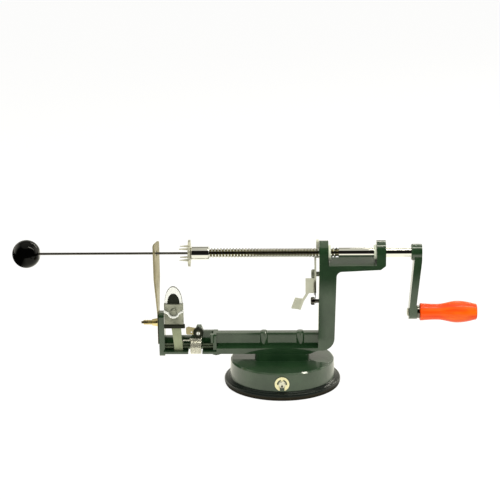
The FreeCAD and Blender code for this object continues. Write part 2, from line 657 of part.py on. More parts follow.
def crank_arm():
    top_x = CRANK_HUB_X + CRANK_STEP_T
    right = CRANK_HUB_X + CRANK_HUB_T
    foot_x = crank_foot_x()
    pin_z = crank_pin_z()
    end_z = pin_z - CRANK_END_R
    side = plate_xz([(top_x, AXIS_Z + CRANK_HUB_R), (top_x, AXIS_Z - 6), (foot_x, pin_z + 7),
                     (foot_x - 0.5, end_z), (foot_x + CRANK_ARM_T + 0.8, end_z),
                     (foot_x + CRANK_ARM_T + 0.8, pin_z + CRANK_END_R),
                     (foot_x + CRANK_ARM_T, pin_z + 9),
                     (right, AXIS_Z - 8), (right, AXIS_Z + CRANK_HUB_R)], -CRANK_HUB_R, CRANK_HUB_R)
    front = plate_yz([(-CRANK_ARM_W_TOP / 2, AXIS_Z), (-CRANK_END_R, pin_z), (CRANK_END_R, pin_z),
                      (CRANK_ARM_W_TOP / 2, AXIS_Z)], top_x - 20, right + 20)
    front = join(front, rod_x(CRANK_END_R, top_x - 20, right + 20, 0, pin_z),
                 rod_x(CRANK_HUB_R, top_x - 20, right + 20, 0, AXIS_Z))
    hub = rod_x(CRANK_HUB_R, CRANK_HUB_X, right, 0, AXIS_Z)
    hub = hub.makeChamfer(CAST_EDGE, [e for e in hub.Edges if isinstance(e.Curve, Part.Circle)])
    arm = join(side.common(front), hub)
    arm = arm.cut(rod_x(SPIGOT_R, CRANK_HUB_X - 1, right + 1, 0, AXIS_Z))
    return arm.cut(rod_x(SPINDLE_R, foot_x - 5, right + 5, 0, pin_z))


def grip_left_x():
    return crank_foot_x() + CRANK_ARM_T + 0.8 + WASHER_T


def grip_washer():
    x0 = grip_left_x() - WASHER_T
    washer = rod_x(WASHER_R, x0, x0 + WASHER_T - RUN, 0, crank_pin_z())
    return washer.cut(rod_x(SPINDLE_R, x0 - 1, x0 + WASHER_T + 1, 0, crank_pin_z()))


def grip_spindle():
    """Riveted into the arm at the left, with a countersunk head in the end of the grip."""
    left = crank_foot_x() - 0.5
    z = crank_pin_z()
    end = grip_left_x() + GRIP_LEN
    pin = rod_x(SPINDLE_R, left, end - 0.6, 0, z)
    rivet = rod_x(SPINDLE_HEAD_R, left - SPINDLE_HEAD_T, left, 0, z)
    rivet = rivet.makeChamfer(0.8, [e for e in rivet.Edges if e.CenterOfMass.x < left - SPINDLE_HEAD_T + EPS])
    head = rod_x(GRIP_SCREW_R - 0.3, end - GRIP_SCREW_H + RUN, end - 0.3, 0, z)
    return join(pin, rivet, head)


def grip_radius(t):
    """Radius of the turned handle at the share t of its length."""
    if t < GRIP_WAIST_AT:
        return GRIP_R_WAIST + (GRIP_R_NECK - GRIP_R_WAIST) * (1 - math.sin(math.pi / 2 * t / GRIP_WAIST_AT))
    if t < GRIP_BELLY_AT:
        u = (t - GRIP_WAIST_AT) / (GRIP_BELLY_AT - GRIP_WAIST_AT)
        return GRIP_R_WAIST + (GRIP_R_BELLY - GRIP_R_WAIST) * (1 - math.cos(math.pi * u)) / 2
    u = (t - GRIP_BELLY_AT) / (1 - GRIP_BELLY_AT)
    return GRIP_R_END + (GRIP_R_BELLY - GRIP_R_END) * math.cos(math.pi / 2 * u)


def grip():
    """Turned handle with a neck, a waist and a belly."""
    x0, z = grip_left_x(), crank_pin_z()
    bands = [(0, 0), (0, GRIP_R_NECK - GRIP_EDGE), (GRIP_EDGE, grip_radius(GRIP_EDGE / GRIP_LEN))]
    for i in range(1, GRIP_BANDS):
        t = i / GRIP_BANDS
        bands.append((GRIP_LEN * t, grip_radius(t)))
    bands += [(GRIP_LEN - GRIP_EDGE, GRIP_R_END + 0.6), (GRIP_LEN, GRIP_R_END - GRIP_EDGE), (GRIP_LEN, 0)]
    body = turned(bands, V(x0, 0, z), V(1, 0, 0), V(0, 0, 1))
    body = body.cut(rod_x(SPINDLE_R + RUN, x0 - 1, x0 + GRIP_LEN + 1, 0, z))
    return body.cut(rod_x(GRIP_SCREW_R, x0 + GRIP_LEN - GRIP_SCREW_H, x0 + GRIP_LEN + 1, 0, z))


# ---------------------------------------------------------------- skewer
def skewer_rod():
    left = SKEWER_FREE_X - SKEWER_IN_BALL
    right = COLLAR_LEFT_X + SKEWER_IN_COLLAR - 0.5
    return rod_x(SKEWER_R, left, right, 0, AXIS_Z)


def ball_knob():
    """Ball turned in narrow bands, with a flat where the rod enters."""
    centre = SKEWER_FREE_X - BALL_FLAT_OFF
    flat = math.degrees(math.acos(BALL_FLAT_OFF / BALL_R))
    step = (180 - flat) / BALL_BANDS
    bands = [(BALL_R * math.cos(math.radians(flat + step * i)), BALL_R * math.sin(math.radians(flat + step * i)))
             for i in range(BALL_BANDS)]
    bands = [(BALL_FLAT_OFF, 0)] + bands + [(-BALL_R, 0)]
    ball = turned(bands, V(centre, 0, AXIS_Z), V(1, 0, 0), V(0, 0, 1))
    return ball.cut(rod_x(SKEWER_R, SKEWER_FREE_X - SKEWER_IN_BALL, SKEWER_FREE_X + 1, 0, AXIS_Z))


# ---------------------------------------------------------------- blade
def blade_section(z, x, width, twist):
    """Cross-section of the strip at height z, ground to an edge on the operator's side."""
    half = width / 2
    flat = [(0, half), (BLADE_T, half), (BLADE_T, -half + BLADE_GRIND), (BLADE_EDGE_T, -half), (0, -half)]
    c, s = math.cos(math.radians(twist)), math.sin(math.radians(twist))
    mid = BLADE_T / 2
    pts = [V(x + mid + (u - mid) * c - v * s, (u - mid) * s + v * c, z) for u, v in flat]
    return Part.makePolygon(pts + pts[:1])


def slicing_blade():
    x = POST_FACE_X - POST_T - BLADE_T
    bend_z = POST_TOP_Z + GAP
    foot = Part.makeLoft([blade_section(BLADE_FOOT_Z, x, BLADE_W_FOOT, 0),
                          blade_section(bend_z, x, BLADE_W_FOOT + 1, 0)], True, True)
    lean = Part.makeLoft([blade_section(bend_z, x, BLADE_W_FOOT + 1, 0),
                          blade_section(bend_z + BLADE_BEND_H, x - BLADE_SHIFT, BLADE_W_TOP - 1, BLADE_TWIST),
                          blade_section(BLADE_TOP_Z, x - BLADE_SHIFT, BLADE_W_TOP, BLADE_TWIST)], True, True)
    blade = join(foot, lean)
    left, right = x - BLADE_W_TOP, x + BLADE_W_TOP
    blade = blade.cut(rod_x(BLADE_EYE_R, left, right, 0, AXIS_Z))
    corner = plate_yz([(-BLADE_W_TOP, BLADE_TOP_Z - BLADE_CORNER), (-BLADE_W_TOP / 2 + BLADE_CORNER, BLADE_TOP_Z + PAST),
                       (-BLADE_W_TOP, BLADE_TOP_Z + PAST)], left, right)
    other = corner.mirror(V(0, 0, 0), V(0, 1, 0))
    return blade.cut(corner).cut(other).cut(rod_x(STUD_R + RUN, left, right, 0, BLADE_STUD_Z))


def nut_face_x():
    return POST_FACE_X - POST_T - BLADE_T


def blade_stud():
    return rod_x(STUD_R, nut_face_x() - STUD_OUT, POST_FACE_X, 0, BLADE_STUD_Z)


def wing_nut():
    x1 = nut_face_x() - 0.05
    x0 = x1 - WING_HUB_T
    hub = Part.makeCone(WING_HUB_R * 0.75, WING_HUB_R, WING_HUB_T, V(x0, 0, BLADE_STUD_Z), V(1, 0, 0))
    half = WING_T / 2
    z0, z1 = BLADE_STUD_Z - half, BLADE_STUD_Z + half
    tip = x1 - WING_FLARE
    nut = hub
    for side in (-1, 1):
        outline = [(x1 - 1.5, 0), (x1 - 1.5, WING_HUB_R * 0.8), (tip + 6.5, WING_SPAN), (tip + 2, WING_SPAN + 0.4),
                   (tip, WING_SPAN - 2.4), (tip + 1.2, WING_SPAN - 4.6), (x0 + 0.5, 2.8), (x0 + 0.5, 0)]
        wire = Part.makePolygon([V(x, side * y, z0) for x, y in outline + outline[:1]])
        nut = nut.fuse(Part.Face(wire).extrude(V(0, 0, z1 - z0)))
    nut = nut.removeSplitter().cut(rod_x(STUD_R + RUN, tip - 1, x1 + 1, 0, BLADE_STUD_Z))
    nut.rotate(V(0, 0, BLADE_STUD_Z), V(1, 0, 0), WING_TILT)
    return nut


# ---------------------------------------------------------------- peeler arm
def leaned(shape):
    """Turns a piece that was made upright over the rod to the arm's rest position."""
    shape.rotate(V(0, ROD_Y, ROD_Z), V(1, 0, 0), ARM_LEAN)
    return shape


def arm_plate(points, front, thick):
    """A plate on the upright arm: points hold (x, height above the rod), front is its front face."""
    y0 = ROD_Y - front
    return plate_xz([(x, ROD_Z + up) for x, up in points], y0, y0 + thick)


def peeler_rod():
    return rod_x(ROD_R, POST_FACE_X - POST_T + 1.5, BEAM_LEFT_X, ROD_Y, ROD_Z)


def peeler_arm():
    half = ARM_HUB_LEN / 2
    hub = rod_x(ARM_HUB_R, ARM_X - half, ARM_X + half, ROD_Y, ROD_Z)
    top = ARM_STRIP_W_TOP / 2
    middle = ARM_X + ARM_STRIP_SHIFT
    strip = arm_plate([(ARM_X - half + GAP, 0), (ARM_X + half - GAP, 0), (middle + top, ARM_STRIP_TOP),
                       (middle - top, ARM_STRIP_TOP)], ARM_HUB_R, ARM_STRIP_T)
    arm = join(hub, strip).cut(rod_x(ROD_R + RUN, ARM_X - HEAD_W, ARM_X + HEAD_W, ROD_Y, ROD_Z))
    return leaned(arm)


def head_front():
    """Distance from the rod's axis to the front face of the head."""
    return ARM_HUB_R + HEAD_T - ARM_STRIP_T


def peeler_head():
    half = HEAD_W / 2
    head = arm_plate([(HEAD_X - half, ARM_STRIP_TOP), (HEAD_X + half, ARM_STRIP_TOP),
                      (HEAD_X + half, ARM_STRIP_TOP + HEAD_H), (HEAD_X - half, ARM_STRIP_TOP + HEAD_H)],
                     head_front(), HEAD_T)
    head = head.makeFillet(1.2, edges_along(head, V(0, 0, 1), lambda c: c.y < ROD_Y - head_front() + EPS))
    up = ROD_Z + HEAD_SCREW_UP
    head = head.cut(rod_y(HEAD_SCREW_SHANK_R, ROD_Y - head_front() - 1, ROD_Y, HEAD_X, up))
    return leaned(head)


def peeler_crossbar():
    half = CROSSBAR_W / 2
    x = HEAD_X + CROSSBAR_SHIFT
    bar = arm_plate([(x - half, ARM_STRIP_TOP - CROSSBAR_H), (x + half, ARM_STRIP_TOP - CROSSBAR_H),
                     (x + half, ARM_STRIP_TOP), (x - half, ARM_STRIP_TOP)],
                    head_front() + CROSSBAR_PROUD, head_front() + CROSSBAR_PROUD - ARM_HUB_R)
    return leaned(bar)


def peeler_screw():
    y = ROD_Y - head_front()
    up = ROD_Z + HEAD_SCREW_UP
    head = rod_y(HEAD_SCREW_R, y - HEAD_SCREW_T, y, HEAD_X, up)
    head = head.makeChamfer(0.7, [e for e in head.Edges if e.CenterOfMass.y < y - HEAD_SCREW_T + EPS])
    shank = rod_y(HEAD_SCREW_SHANK_R, y, y + HEAD_T, HEAD_X, up)
    return leaned(join(head, shank))


def peeler_blade():
    """Thin strip on edge: two arms and a loop that passes below the screw."""
    y1 = ROD_Y - head_front()
    y0 = y1 - EDGE_DEPTH
    z = ROD_Z + HEAD_SCREW_UP
    loop = rod_y(EDGE_LOOP_R, y0, y1, HEAD_X, z).cut(rod_y(EDGE_LOOP_R - EDGE_T, y0, y1, HEAD_X, z))
    loop = loop.common(block(HEAD_X - 20, HEAD_X + 20, y0, y1, z - 20, z - 1.2))
    parts = [loop]
    reach = HEAD_W / 2
    for side in (-1, 1):
        inner, outer = EDGE_LOOP_R - EDGE_T / 2 - 0.6, reach
        parts.append(plate_xz([(HEAD_X + side * inner, z - 2.2), (HEAD_X + side * inner, z - 1.0),
                               (HEAD_X + side * outer, z + 1.8), (HEAD_X + side * outer, z + 0.6)], y0, y1))
    return leaned(join(*parts))


def guard_arch(width, height, front, thick):
    """A plate with an arched outline that stands on the head."""
    base = ARM_STRIP_TOP + HEAD_H
    points = [(HEAD_X + width / 2 * math.cos(math.pi * i / GUARD_STEPS),
               base + height * math.sin(math.pi * i / GUARD_STEPS)) for i in range(GUARD_STEPS + 1)]
    return arm_plate(points, head_front() - front, thick)


def peeler_guard():
    """Arched guard on the head, with a pocket for its dark insert."""
    plate = guard_arch(GUARD_W, GUARD_H, GUARD_BACK, GUARD_T)
    return leaned(plate.cut(guard_arch(INSERT_W, INSERT_H, GUARD_BACK, GUARD_POCKET)))


def guard_insert():
    return leaned(guard_arch(INSERT_W, INSERT_H, GUARD_BACK - INSERT_PROUD, GUARD_POCKET + INSERT_PROUD))


def peeler_spring():
    """Close-wound coil as a sleeve, with its two straight legs."""
    mid = COIL_R - COIL_WIRE / 2
    end = COIL_X + COIL_WIRE * COIL_TURNS
    coil = rod_x(COIL_R, COIL_X, end, ROD_Y, ROD_Z).cut(rod_x(COIL_R - COIL_WIRE, COIL_X, end, ROD_Y, ROD_Z))
    angle = math.radians(ARM_LEAN + LEG_ANGLE)
    y, z = ROD_Y - mid * math.sin(angle), ROD_Z + mid * math.cos(angle)
    arm_leg = rod_x(LEG_R, ARM_X + ARM_HUB_LEN / 2 + RUN, COIL_X + COIL_WIRE, y, z)
    end_x = COIL_X + COIL_WIRE * (COIL_TURNS - 0.5)
    wall_leg = rod_y(LEG_R, ROD_Y, BACK_WALL_Y - 0.05, end_x, ROD_Z + mid)
    return coil.multiFuse([arm_leg, wall_leg])


# ---------------------------------------------------------------- latch
def arm_latch():
    y0 = LATCH_FRONT_Y
    knob = rod_y(LATCH_R, y0, y0 + LATCH_T, LATCH_X, LATCH_Z)
    knob = knob.makeChamfer(LATCH_EDGE, [e for e in knob.Edges if abs(e.CenterOfMass.y - y0) < EPS])
    nib = rod_y(LATCH_NIB_R, y0 + LATCH_EDGE, y0 + LATCH_T - LATCH_EDGE, LATCH_X, LATCH_Z + LATCH_R - GAP)
    return join(knob, nib).cut(rod_y(LATCH_PIN_R + RUN, y0 - 1, y0 + LATCH_T + 1, LATCH_X, LATCH_Z))


def hook_left_x():
    """The hook ends beside the crossbar, so that the arm can swing back past it."""
    return HEAD_X + CROSSBAR_SHIFT + CROSSBAR_W / 2 + GAP


def latch_hook():
    """Plate behind the knob that reaches to the edge of the arm."""
    y0 = LATCH_FRONT_Y + LATCH_T - HOOK_T
    x0, x1 = hook_left_x(), LATCH_X - LATCH_R * 0.6
    z0 = LATCH_Z - HOOK_DROP
    plate = plate_xz([(x0, z0 + 1.0), (x0 + 1.2, z0), (x1, z0), (x1, z0 + HOOK_H - 1.4),
                      (x0 + 2.4, z0 + HOOK_H), (x0, z0 + HOOK_H - 1)], y0, y0 + HOOK_T)
    plate = plate.cut(rod_y(LATCH_R + 0.02, y0 - 1, y0 + HOOK_T + 1, LATCH_X, LATCH_Z))
    return plate.cut(block(x0 + 4.6, x0 + 4.6 + HOOK_EYE, y0 - 1, y0 + HOOK_T + 1, z0 + 1.6, z0 + 1.6 + HOOK_EYE))


def latch_pin():
    y0 = LATCH_FRONT_Y
    pin = rod_y(LATCH_PIN_R, y0, BACK_WALL_Y + BACK_WALL_T, LATCH_X, LATCH_Z)
    head = rod_y(LATCH_PIN_R + 0.9, y0 - 1.0, y0 - 0.05, LATCH_X, LATCH_Z)
    head = head.makeChamfer(0.5, [e for e in head.Edges if e.CenterOfMass.y < y0 - 1.0 + EPS])
    neck = rod_y(LATCH_PIN_R, y0 - 0.5, y0 + 0.5, LATCH_X, LATCH_Z)
    return join(pin, neck, head)


# ---------------------------------------------------------------- release lever
def plate_right_x():
    """Right face of the lever's plate: the half nut fills the space to the column."""
    return COLUMN_LEFT_X - NUT_T - 0.2


def release_lever():
    x1 = plate_right_x()
    x0 = x1 - PLATE_T
    eye = rod_x(PLATE_EYE_R, x0, x1, 0, LEVER_PIVOT_Z)
    upper = plate_yz([(-PLATE_EYE_R * 0.8, LEVER_PIVOT_Z), (PLATE_EYE_R, LEVER_PIVOT_Z), (NUT_FAR_Y, NUT_BOTTOM_Z),
                      (NUT_FAR_Y, AXIS_Z - 2), (NUT_NEAR_Y, AXIS_Z - 2), (-3.5, NUT_BOTTOM_Z - 3)], x0, x1)
    lower = block(x0, x1, TAB_Y, PLATE_EYE_R * 0.5, TAB_BOTTOM_Z + 6, LEVER_PIVOT_Z)
    tab = block(x0 - TAB_W, x1, TAB_Y, TAB_Y + TAB_T, TAB_BOTTOM_Z, TAB_TOP_Z)
    nx = x0 - TAB_W + NECK_IN
    neck = plate_xz([(nx, TAB_BOTTOM_Z + EPS), (nx + NECK_W, TAB_BOTTOM_Z + EPS),
                     (nx + NECK_W - NECK_SHIFT, TAB_BOTTOM_Z - NECK_DROP),
                     (nx - NECK_SHIFT, TAB_BOTTOM_Z - NECK_DROP)], TAB_Y, TAB_Y + TAB_T)
    tx, tz = nx - NECK_SHIFT + NECK_W, TAB_BOTTOM_Z - NECK_DROP + THUMB_RISE
    rib = block(tx - THUMB_RETURN, tx, TAB_Y, TAB_Y + TAB_T, tz - THUMB_LEN, tz)
    thumb = block(tx - THUMB_RETURN - THUMB_W, tx - THUMB_RETURN + TAB_T, TAB_Y, TAB_Y + TAB_T, tz - THUMB_LEN, tz)
    thumb.rotate(V(tx - THUMB_RETURN, TAB_Y, tz), V(0, 0, 1), THUMB_FOLD)
    pad = join(rib, thumb)
    pad.rotate(V(tx, TAB_Y, tz), V(0, 1, 0), THUMB_TILT)
    lever = join(eye, upper, lower, tab, neck, pad)
    lever = lever.cut(rod_x(SCREW_OUTER_R + 0.7, x0 - 1, x1 + 1, 0, AXIS_Z))
    lever = lever.cut(rod_y(PULL_WIRE_R + RUN, TAB_Y - PAST, TAB_Y + TAB_T + PAST, PULL_X, pull_top_z()))
    return lever.cut(rod_x(PIVOT_SHANK_R + RUN, x0 - 20, x1 + 1, 0, LEVER_PIVOT_Z))


def half_nut():
    x0 = plate_right_x()
    nut = block(x0, x0 + NUT_T, NUT_NEAR_Y, NUT_FAR_Y, NUT_BOTTOM_Z, NUT_TOP_Z)
    return nut.cut(rod_x(SCREW_OUTER_R + RUN, x0 - 1, x0 + NUT_T + 1, 0, AXIS_Z))


def release_pivot_screw():
    x1 = plate_right_x() - PLATE_T - RUN
    head = rod_x(PIVOT_HEAD_R, x1 - PIVOT_HEAD_T, x1, 0, LEVER_PIVOT_Z)
    head = head.makeChamfer(1.1, [e for e in head.Edges if abs(e.CenterOfMass.x - x1 + PIVOT_HEAD_T) < EPS])
    shank = rod_x(PIVOT_SHANK_R, x1, COLUMN_LEFT_X + 10, 0, LEVER_PIVOT_Z)
    return join(head, shank)


def spring_screw():
    x0 = COLUMN_LEFT_X - PULL_SCREW_OUT
    head = rod_x(PULL_SCREW_R, x0, x0 + PULL_SCREW_HEAD_T, PULL_Y, PULL_SCREW_Z)
    head = head.makeChamfer(0.8, [e for e in head.Edges if abs(e.CenterOfMass.x - x0) < EPS])
    shank = rod_x(PULL_SCREW_SHANK_R, x0, COLUMN_LEFT_X + 10, PULL_Y, PULL_SCREW_Z)
    return join(head, shank)


def pull_top_z():
    """Height of the hole that takes the pull spring's upper hook."""
    return TAB_TOP_Z - PULL_HOLE_DOWN


def release_spring():
    """Close-wound pull spring in front of the tab: its upper hook goes back through the tab's hole."""
    top = pull_top_z()
    low = PULL_SCREW_Z + PULL_SCREW_SHANK_R
    coil = rod_z(PULL_R, low + PULL_TAIL, top - PULL_HOOK, PULL_X, PULL_Y)
    upper = rod_z(PULL_WIRE_R, top - PULL_HOOK, top, PULL_X, PULL_Y)
    bend = Part.makeSphere(PULL_WIRE_R, V(PULL_X, PULL_Y, top))
    hook = rod_y(PULL_WIRE_R, PULL_Y, TAB_Y + TAB_T, PULL_X, top)
    lower = rod_z(PULL_WIRE_R, low, low + PULL_TAIL, PULL_TAIL_X, PULL_Y)
    return coil.multiFuse([upper, bend, hook, lower]).removeSplitter()


# ---------------------------------------------------------------- export
def parts():
    front_end = COLUMN_LEFT_X + FRONT_POST_T
    rear_end = REAR_POST_X + REAR_POST_T
    return {
        "frame_casting": frame_casting(),
        "base_housing": base_housing(),
        "base_screws": base_screws(),
        "suction_cup": suction_cup(),
        "pull_stud": pull_stud(),
        "cam_axle": cam_axle(),
        "axle_clip": axle_clip(),
        "suction_lever": suction_lever(),
        "front_bush": bearing_bush(COLUMN_LEFT_X, front_end, True),
        "rear_bush": bearing_bush(REAR_POST_X, rear_end, False),
        "lead_screw": lead_screw(),
        "fork_collar": fork_collar(),
        "fork": fork(),
        "crank_arm": crank_arm(),
        "grip_washer": grip_washer(),
        "grip_spindle": grip_spindle(),
        "grip": grip(),
        "skewer_rod": skewer_rod(),
        "ball_knob": ball_knob(),
        "slicing_blade": slicing_blade(),
        "blade_stud": blade_stud(),
        "wing_nut": wing_nut(),
        "peeler_rod": peeler_rod(),
        "peeler_arm": peeler_arm(),
        "peeler_head": peeler_head(),
        "peeler_crossbar": peeler_crossbar(),
        "peeler_screw": peeler_screw(),
        "peeler_blade": peeler_blade(),
        "peeler_guard": peeler_guard(),
        "guard_insert": guard_insert(),
        "peeler_spring": peeler_spring(),
        "arm_latch": arm_latch(),
        "latch_hook": latch_hook(),
        "latch_pin": latch_pin(),
        "release_lever": release_lever(),
        "half_nut": half_nut(),
        "release_pivot_screw": release_pivot_screw(),
        "spring_screw": spring_screw(),
        "release_spring": release_spring(),
    }


os.makedirs("parts", exist_ok=True)
for name, shape in parts().items():
    shape.exportStep(f"parts/{name}.step")
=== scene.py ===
import json
import math

import bpy
from mathutils import Matrix, Vector

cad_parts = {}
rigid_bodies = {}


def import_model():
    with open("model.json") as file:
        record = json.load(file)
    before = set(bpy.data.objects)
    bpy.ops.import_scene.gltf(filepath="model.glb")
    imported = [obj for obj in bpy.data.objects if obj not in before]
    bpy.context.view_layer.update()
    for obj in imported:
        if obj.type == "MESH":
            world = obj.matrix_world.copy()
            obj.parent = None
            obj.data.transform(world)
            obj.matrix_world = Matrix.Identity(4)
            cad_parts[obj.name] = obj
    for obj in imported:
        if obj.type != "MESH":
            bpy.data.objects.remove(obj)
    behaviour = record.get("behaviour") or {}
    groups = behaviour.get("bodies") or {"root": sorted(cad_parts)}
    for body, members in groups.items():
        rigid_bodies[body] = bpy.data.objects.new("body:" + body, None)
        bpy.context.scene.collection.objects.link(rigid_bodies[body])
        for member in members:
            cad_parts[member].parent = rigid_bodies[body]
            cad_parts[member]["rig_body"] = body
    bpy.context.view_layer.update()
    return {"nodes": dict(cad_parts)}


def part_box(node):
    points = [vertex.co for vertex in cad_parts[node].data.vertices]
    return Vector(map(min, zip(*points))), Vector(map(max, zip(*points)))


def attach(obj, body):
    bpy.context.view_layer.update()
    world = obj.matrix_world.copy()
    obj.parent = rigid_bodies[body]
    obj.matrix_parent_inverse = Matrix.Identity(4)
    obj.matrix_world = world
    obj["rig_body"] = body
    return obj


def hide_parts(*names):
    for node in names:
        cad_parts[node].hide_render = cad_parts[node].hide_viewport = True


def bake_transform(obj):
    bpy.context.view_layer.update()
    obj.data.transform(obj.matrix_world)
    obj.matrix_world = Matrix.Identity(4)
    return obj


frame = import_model()


# ---------------------------------------------------------------- suction housing
# The round housing is a die casting: a slightly tapered wall, a rolled rim and a low plinth on top.
# It is dipped in a thick dark green hammered enamel, which softens every edge.
HOUSING_EDGE = 0.0009
LOOSE_WITHIN = 2e-6     # loose corners closer than this, in metres, are one
FLAT_WITHIN = 0.4       # degrees between faces that are one flat face
CORNER = 28             # degrees from which an edge is rounded
FLAT_WEIGHT = 90        # how far large faces decide the shading of their edges
ENAMEL_GREEN = (0.006, 0.024, 0.009)
ENAMEL_GREEN_LIT = (0.017, 0.049, 0.019)
CLOUD_SPAN = (0.35, 0.70)


class Signal:
    """One value in a material's node tree, so that shader maths reads as an expression."""

    def __init__(self, tree, socket):
        self.tree, self.socket = tree, socket

    def maths(self, operation, first, second):
        node = self.tree.nodes.new("ShaderNodeMath")
        node.operation = operation
        for value, socket in zip((first, second), node.inputs):
            if isinstance(value, Signal):
                self.tree.links.new(value.socket, socket)
            else:
                socket.default_value = value
        return Signal(self.tree, node.outputs[0])

    def __add__(self, other):
        return self.maths("ADD", self, other)

    def __radd__(self, other):
        return self.maths("ADD", other, self)

    def __sub__(self, other):
        return self.maths("SUBTRACT", self, other)

    def __rsub__(self, other):
        return self.maths("SUBTRACT", other, self)

    def __mul__(self, other):
        return self.maths("MULTIPLY", self, other)

    def __rmul__(self, other):
        return self.maths("MULTIPLY", other, self)

    def __pow__(self, other):
        return self.maths("POWER", self, other)

    def __abs__(self):
        return self.maths("ABSOLUTE", self, 0.0)


class Nodes:
    """A node tree that is built node by node."""

    def __init__(self, tree):
        self.tree = tree

    def node(self, kind, settings=None, sockets=None, output=0):
        """Adds a node, with its settings first and then the values or links of its sockets."""
        made = self.tree.nodes.new(kind)
        for key, value in (settings or {}).items():
            if key == "stops":
                for place, colour in value[2:]:
                    made.color_ramp.elements.new(place)
                for element, (place, colour) in zip(made.color_ramp.elements, sorted(value)):
                    element.position, element.color = place, (*colour, 1)
            else:
                setattr(made, key, value)
        for key, value in (sockets or {}).items():
            if isinstance(value, Signal):
                self.tree.links.new(value.socket, made.inputs[key])
            else:
                made.inputs[key].default_value = value
        return Signal(self.tree, made.outputs[output])

    def place(self):
        return self.node("ShaderNodeTexCoord", output="Object")

    def part(self, vector, index):
        return self.node("ShaderNodeSeparateXYZ", None, {"Vector": vector}, index)

    def distance(self, centre, first, second):
        """How far the surface is from a line through centre, measured along two of the axes."""
        place = self.place()
        a, b = (self.part(place, i) - centre[i] for i in (first, second))
        return (a * a + b * b) ** 0.5

    def stretched(self, scale):
        return self.node("ShaderNodeMapping", None, {"Vector": self.place(), "Scale": scale})

    def noise(self, vector, scale, detail=2.0, roughness=0.5):
        return self.node("ShaderNodeTexNoise", None,
                         {"Vector": vector, "Scale": scale, "Detail": detail, "Roughness": roughness})

    def ramp(self, signal, *stops):
        return self.node("ShaderNodeValToRGB", {"stops": stops}, {"Fac": signal})

    def span(self, signal, low, high):
        """Stretches the part of a signal between low and high to run from 0 to 1."""
        return self.node("ShaderNodeMapRange", None, {"Value": signal, "From Min": low, "From Max": high})

    def mix(self, first, second, share):
        """Goes from one colour to the other by share. A Mix node's colour sockets are found by number."""
        first, second = (c if isinstance(c, Signal) else (*c, 1) for c in (first, second))
        return self.node("ShaderNodeMix", {"data_type": "RGBA"}, {0: share, 6: first, 7: second}, output=2)

    def bump(self, height, strength, distance):
        return self.node("ShaderNodeBump", None,
                         {"Height": height, "Strength": strength, "Distance": distance})


class Finish(Nodes):
    """A material round one principled shader, whose constant sockets are set first."""

    def __init__(self, name, **constants):
        self.material = bpy.data.materials.new(name)
        self.material.use_nodes = True
        super().__init__(self.material.node_tree)
        self.shader = self.tree.nodes["Principled BSDF"]
        for socket, value in constants.items():
            self.shader.inputs[socket.replace("_", " ")].default_value = value

    def wire(self, **signals):
        for socket, signal in signals.items():
            self.tree.links.new(signal.socket, self.shader.inputs[socket.replace("_", " ")])
        return self.material


def enamel(name, deep, lit):
    """Thick glossy paint with a fine hammered skin and a slightly cloudy colour."""
    f = Finish(name, Coat_Roughness=0.05, Coat_IOR=1.7, Specular_IOR_Level=0.30)
    place = f.place()
    cloud = f.span(f.noise(place, 45, 3), *CLOUD_SPAN)
    fine = f.noise(place, 900, 2)
    dimples = f.node("ShaderNodeTexVoronoi", {"feature": "SMOOTH_F1"},
                     {"Vector": place, "Scale": 420, "Smoothness": 0.6, "Randomness": 1.0})
    waves = f.noise(place, 22, 2)
    colour = f.mix(deep, lit, cloud * 0.7 + fine * 0.3)
    return f.wire(Base_Color=colour, Roughness=0.40 + 0.14 * fine, Coat_Weight=0.85 + 0.15 * cloud,
                  Normal=f.bump(dimples * 0.8 + fine * 0.25 + waves * 1.2, 0.30, 0.0004))


green_enamel = enamel("green_hammered_enamel", ENAMEL_GREEN, ENAMEL_GREEN_LIT)


def pick(obj):
    """Makes obj the one selected and active object."""
    bpy.ops.object.select_all(action="DESELECT")
    obj.select_set(True)
    bpy.context.view_layer.objects.active = obj


def modify(obj, kind, **settings):
    pick(obj)
    modifier = obj.modifiers.new(kind.lower(), kind)
    for key, value in settings.items():
        setattr(modifier, key, value)
    bpy.ops.object.modifier_apply(modifier=modifier.name)


def merged_copy(node, name):
    """A solid's own mesh under a new name, with its loose triangles merged into whole faces."""
    obj = bpy.data.objects.new(name, frame["nodes"][node].data.copy())
    bpy.context.scene.collection.objects.link(obj)
    pick(obj)
    bpy.ops.mesh.customdata_custom_splitnormals_clear()
    bpy.ops.object.mode_set(mode="EDIT")
    bpy.ops.mesh.select_all(action="SELECT")
    bpy.ops.mesh.remove_doubles(threshold=LOOSE_WITHIN)
    bpy.ops.mesh.dissolve_limited(angle_limit=math.radians(FLAT_WITHIN))
    bpy.ops.object.mode_set(mode="OBJECT")
    return obj


def soften(obj, edge, segments, smooth=40):
    """Rounds the edges of a piece and smooths its shading, while its flat faces stay flat."""
    modify(obj, "BEVEL", width=edge, segments=segments, limit_method="ANGLE",
           angle_limit=math.radians(CORNER), use_clamp_overlap=True)
    bpy.ops.object.shade_smooth_by_angle(angle=math.radians(smooth))
    modify(obj, "WEIGHTED_NORMAL", keep_sharp=True, weight=FLAT_WEIGHT)
    return obj


def fit(obj, material, node):
    """Gives a finished piece its material and puts it in the place of the solid it stands for."""
    obj.data.materials.clear()
    obj.data.materials.append(material)
    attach(obj, frame["nodes"][node]["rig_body"])
    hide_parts(node)
    return obj


def dressed(node, name, edge, segments, material, smooth=40):
    """A solid's own shape under a new name, with rounded edges and its finish."""
    return fit(soften(merged_copy(node, name), edge, segments, smooth=smooth), material, node)


def paint(node, material):
    """A solid that keeps its own mesh gets its finish."""
    obj = frame["nodes"][node]
    obj.data.materials.clear()
    obj.data.materials.append(material)


dressed("base_housing", "suction_housing", HOUSING_EDGE, 3, green_enamel)


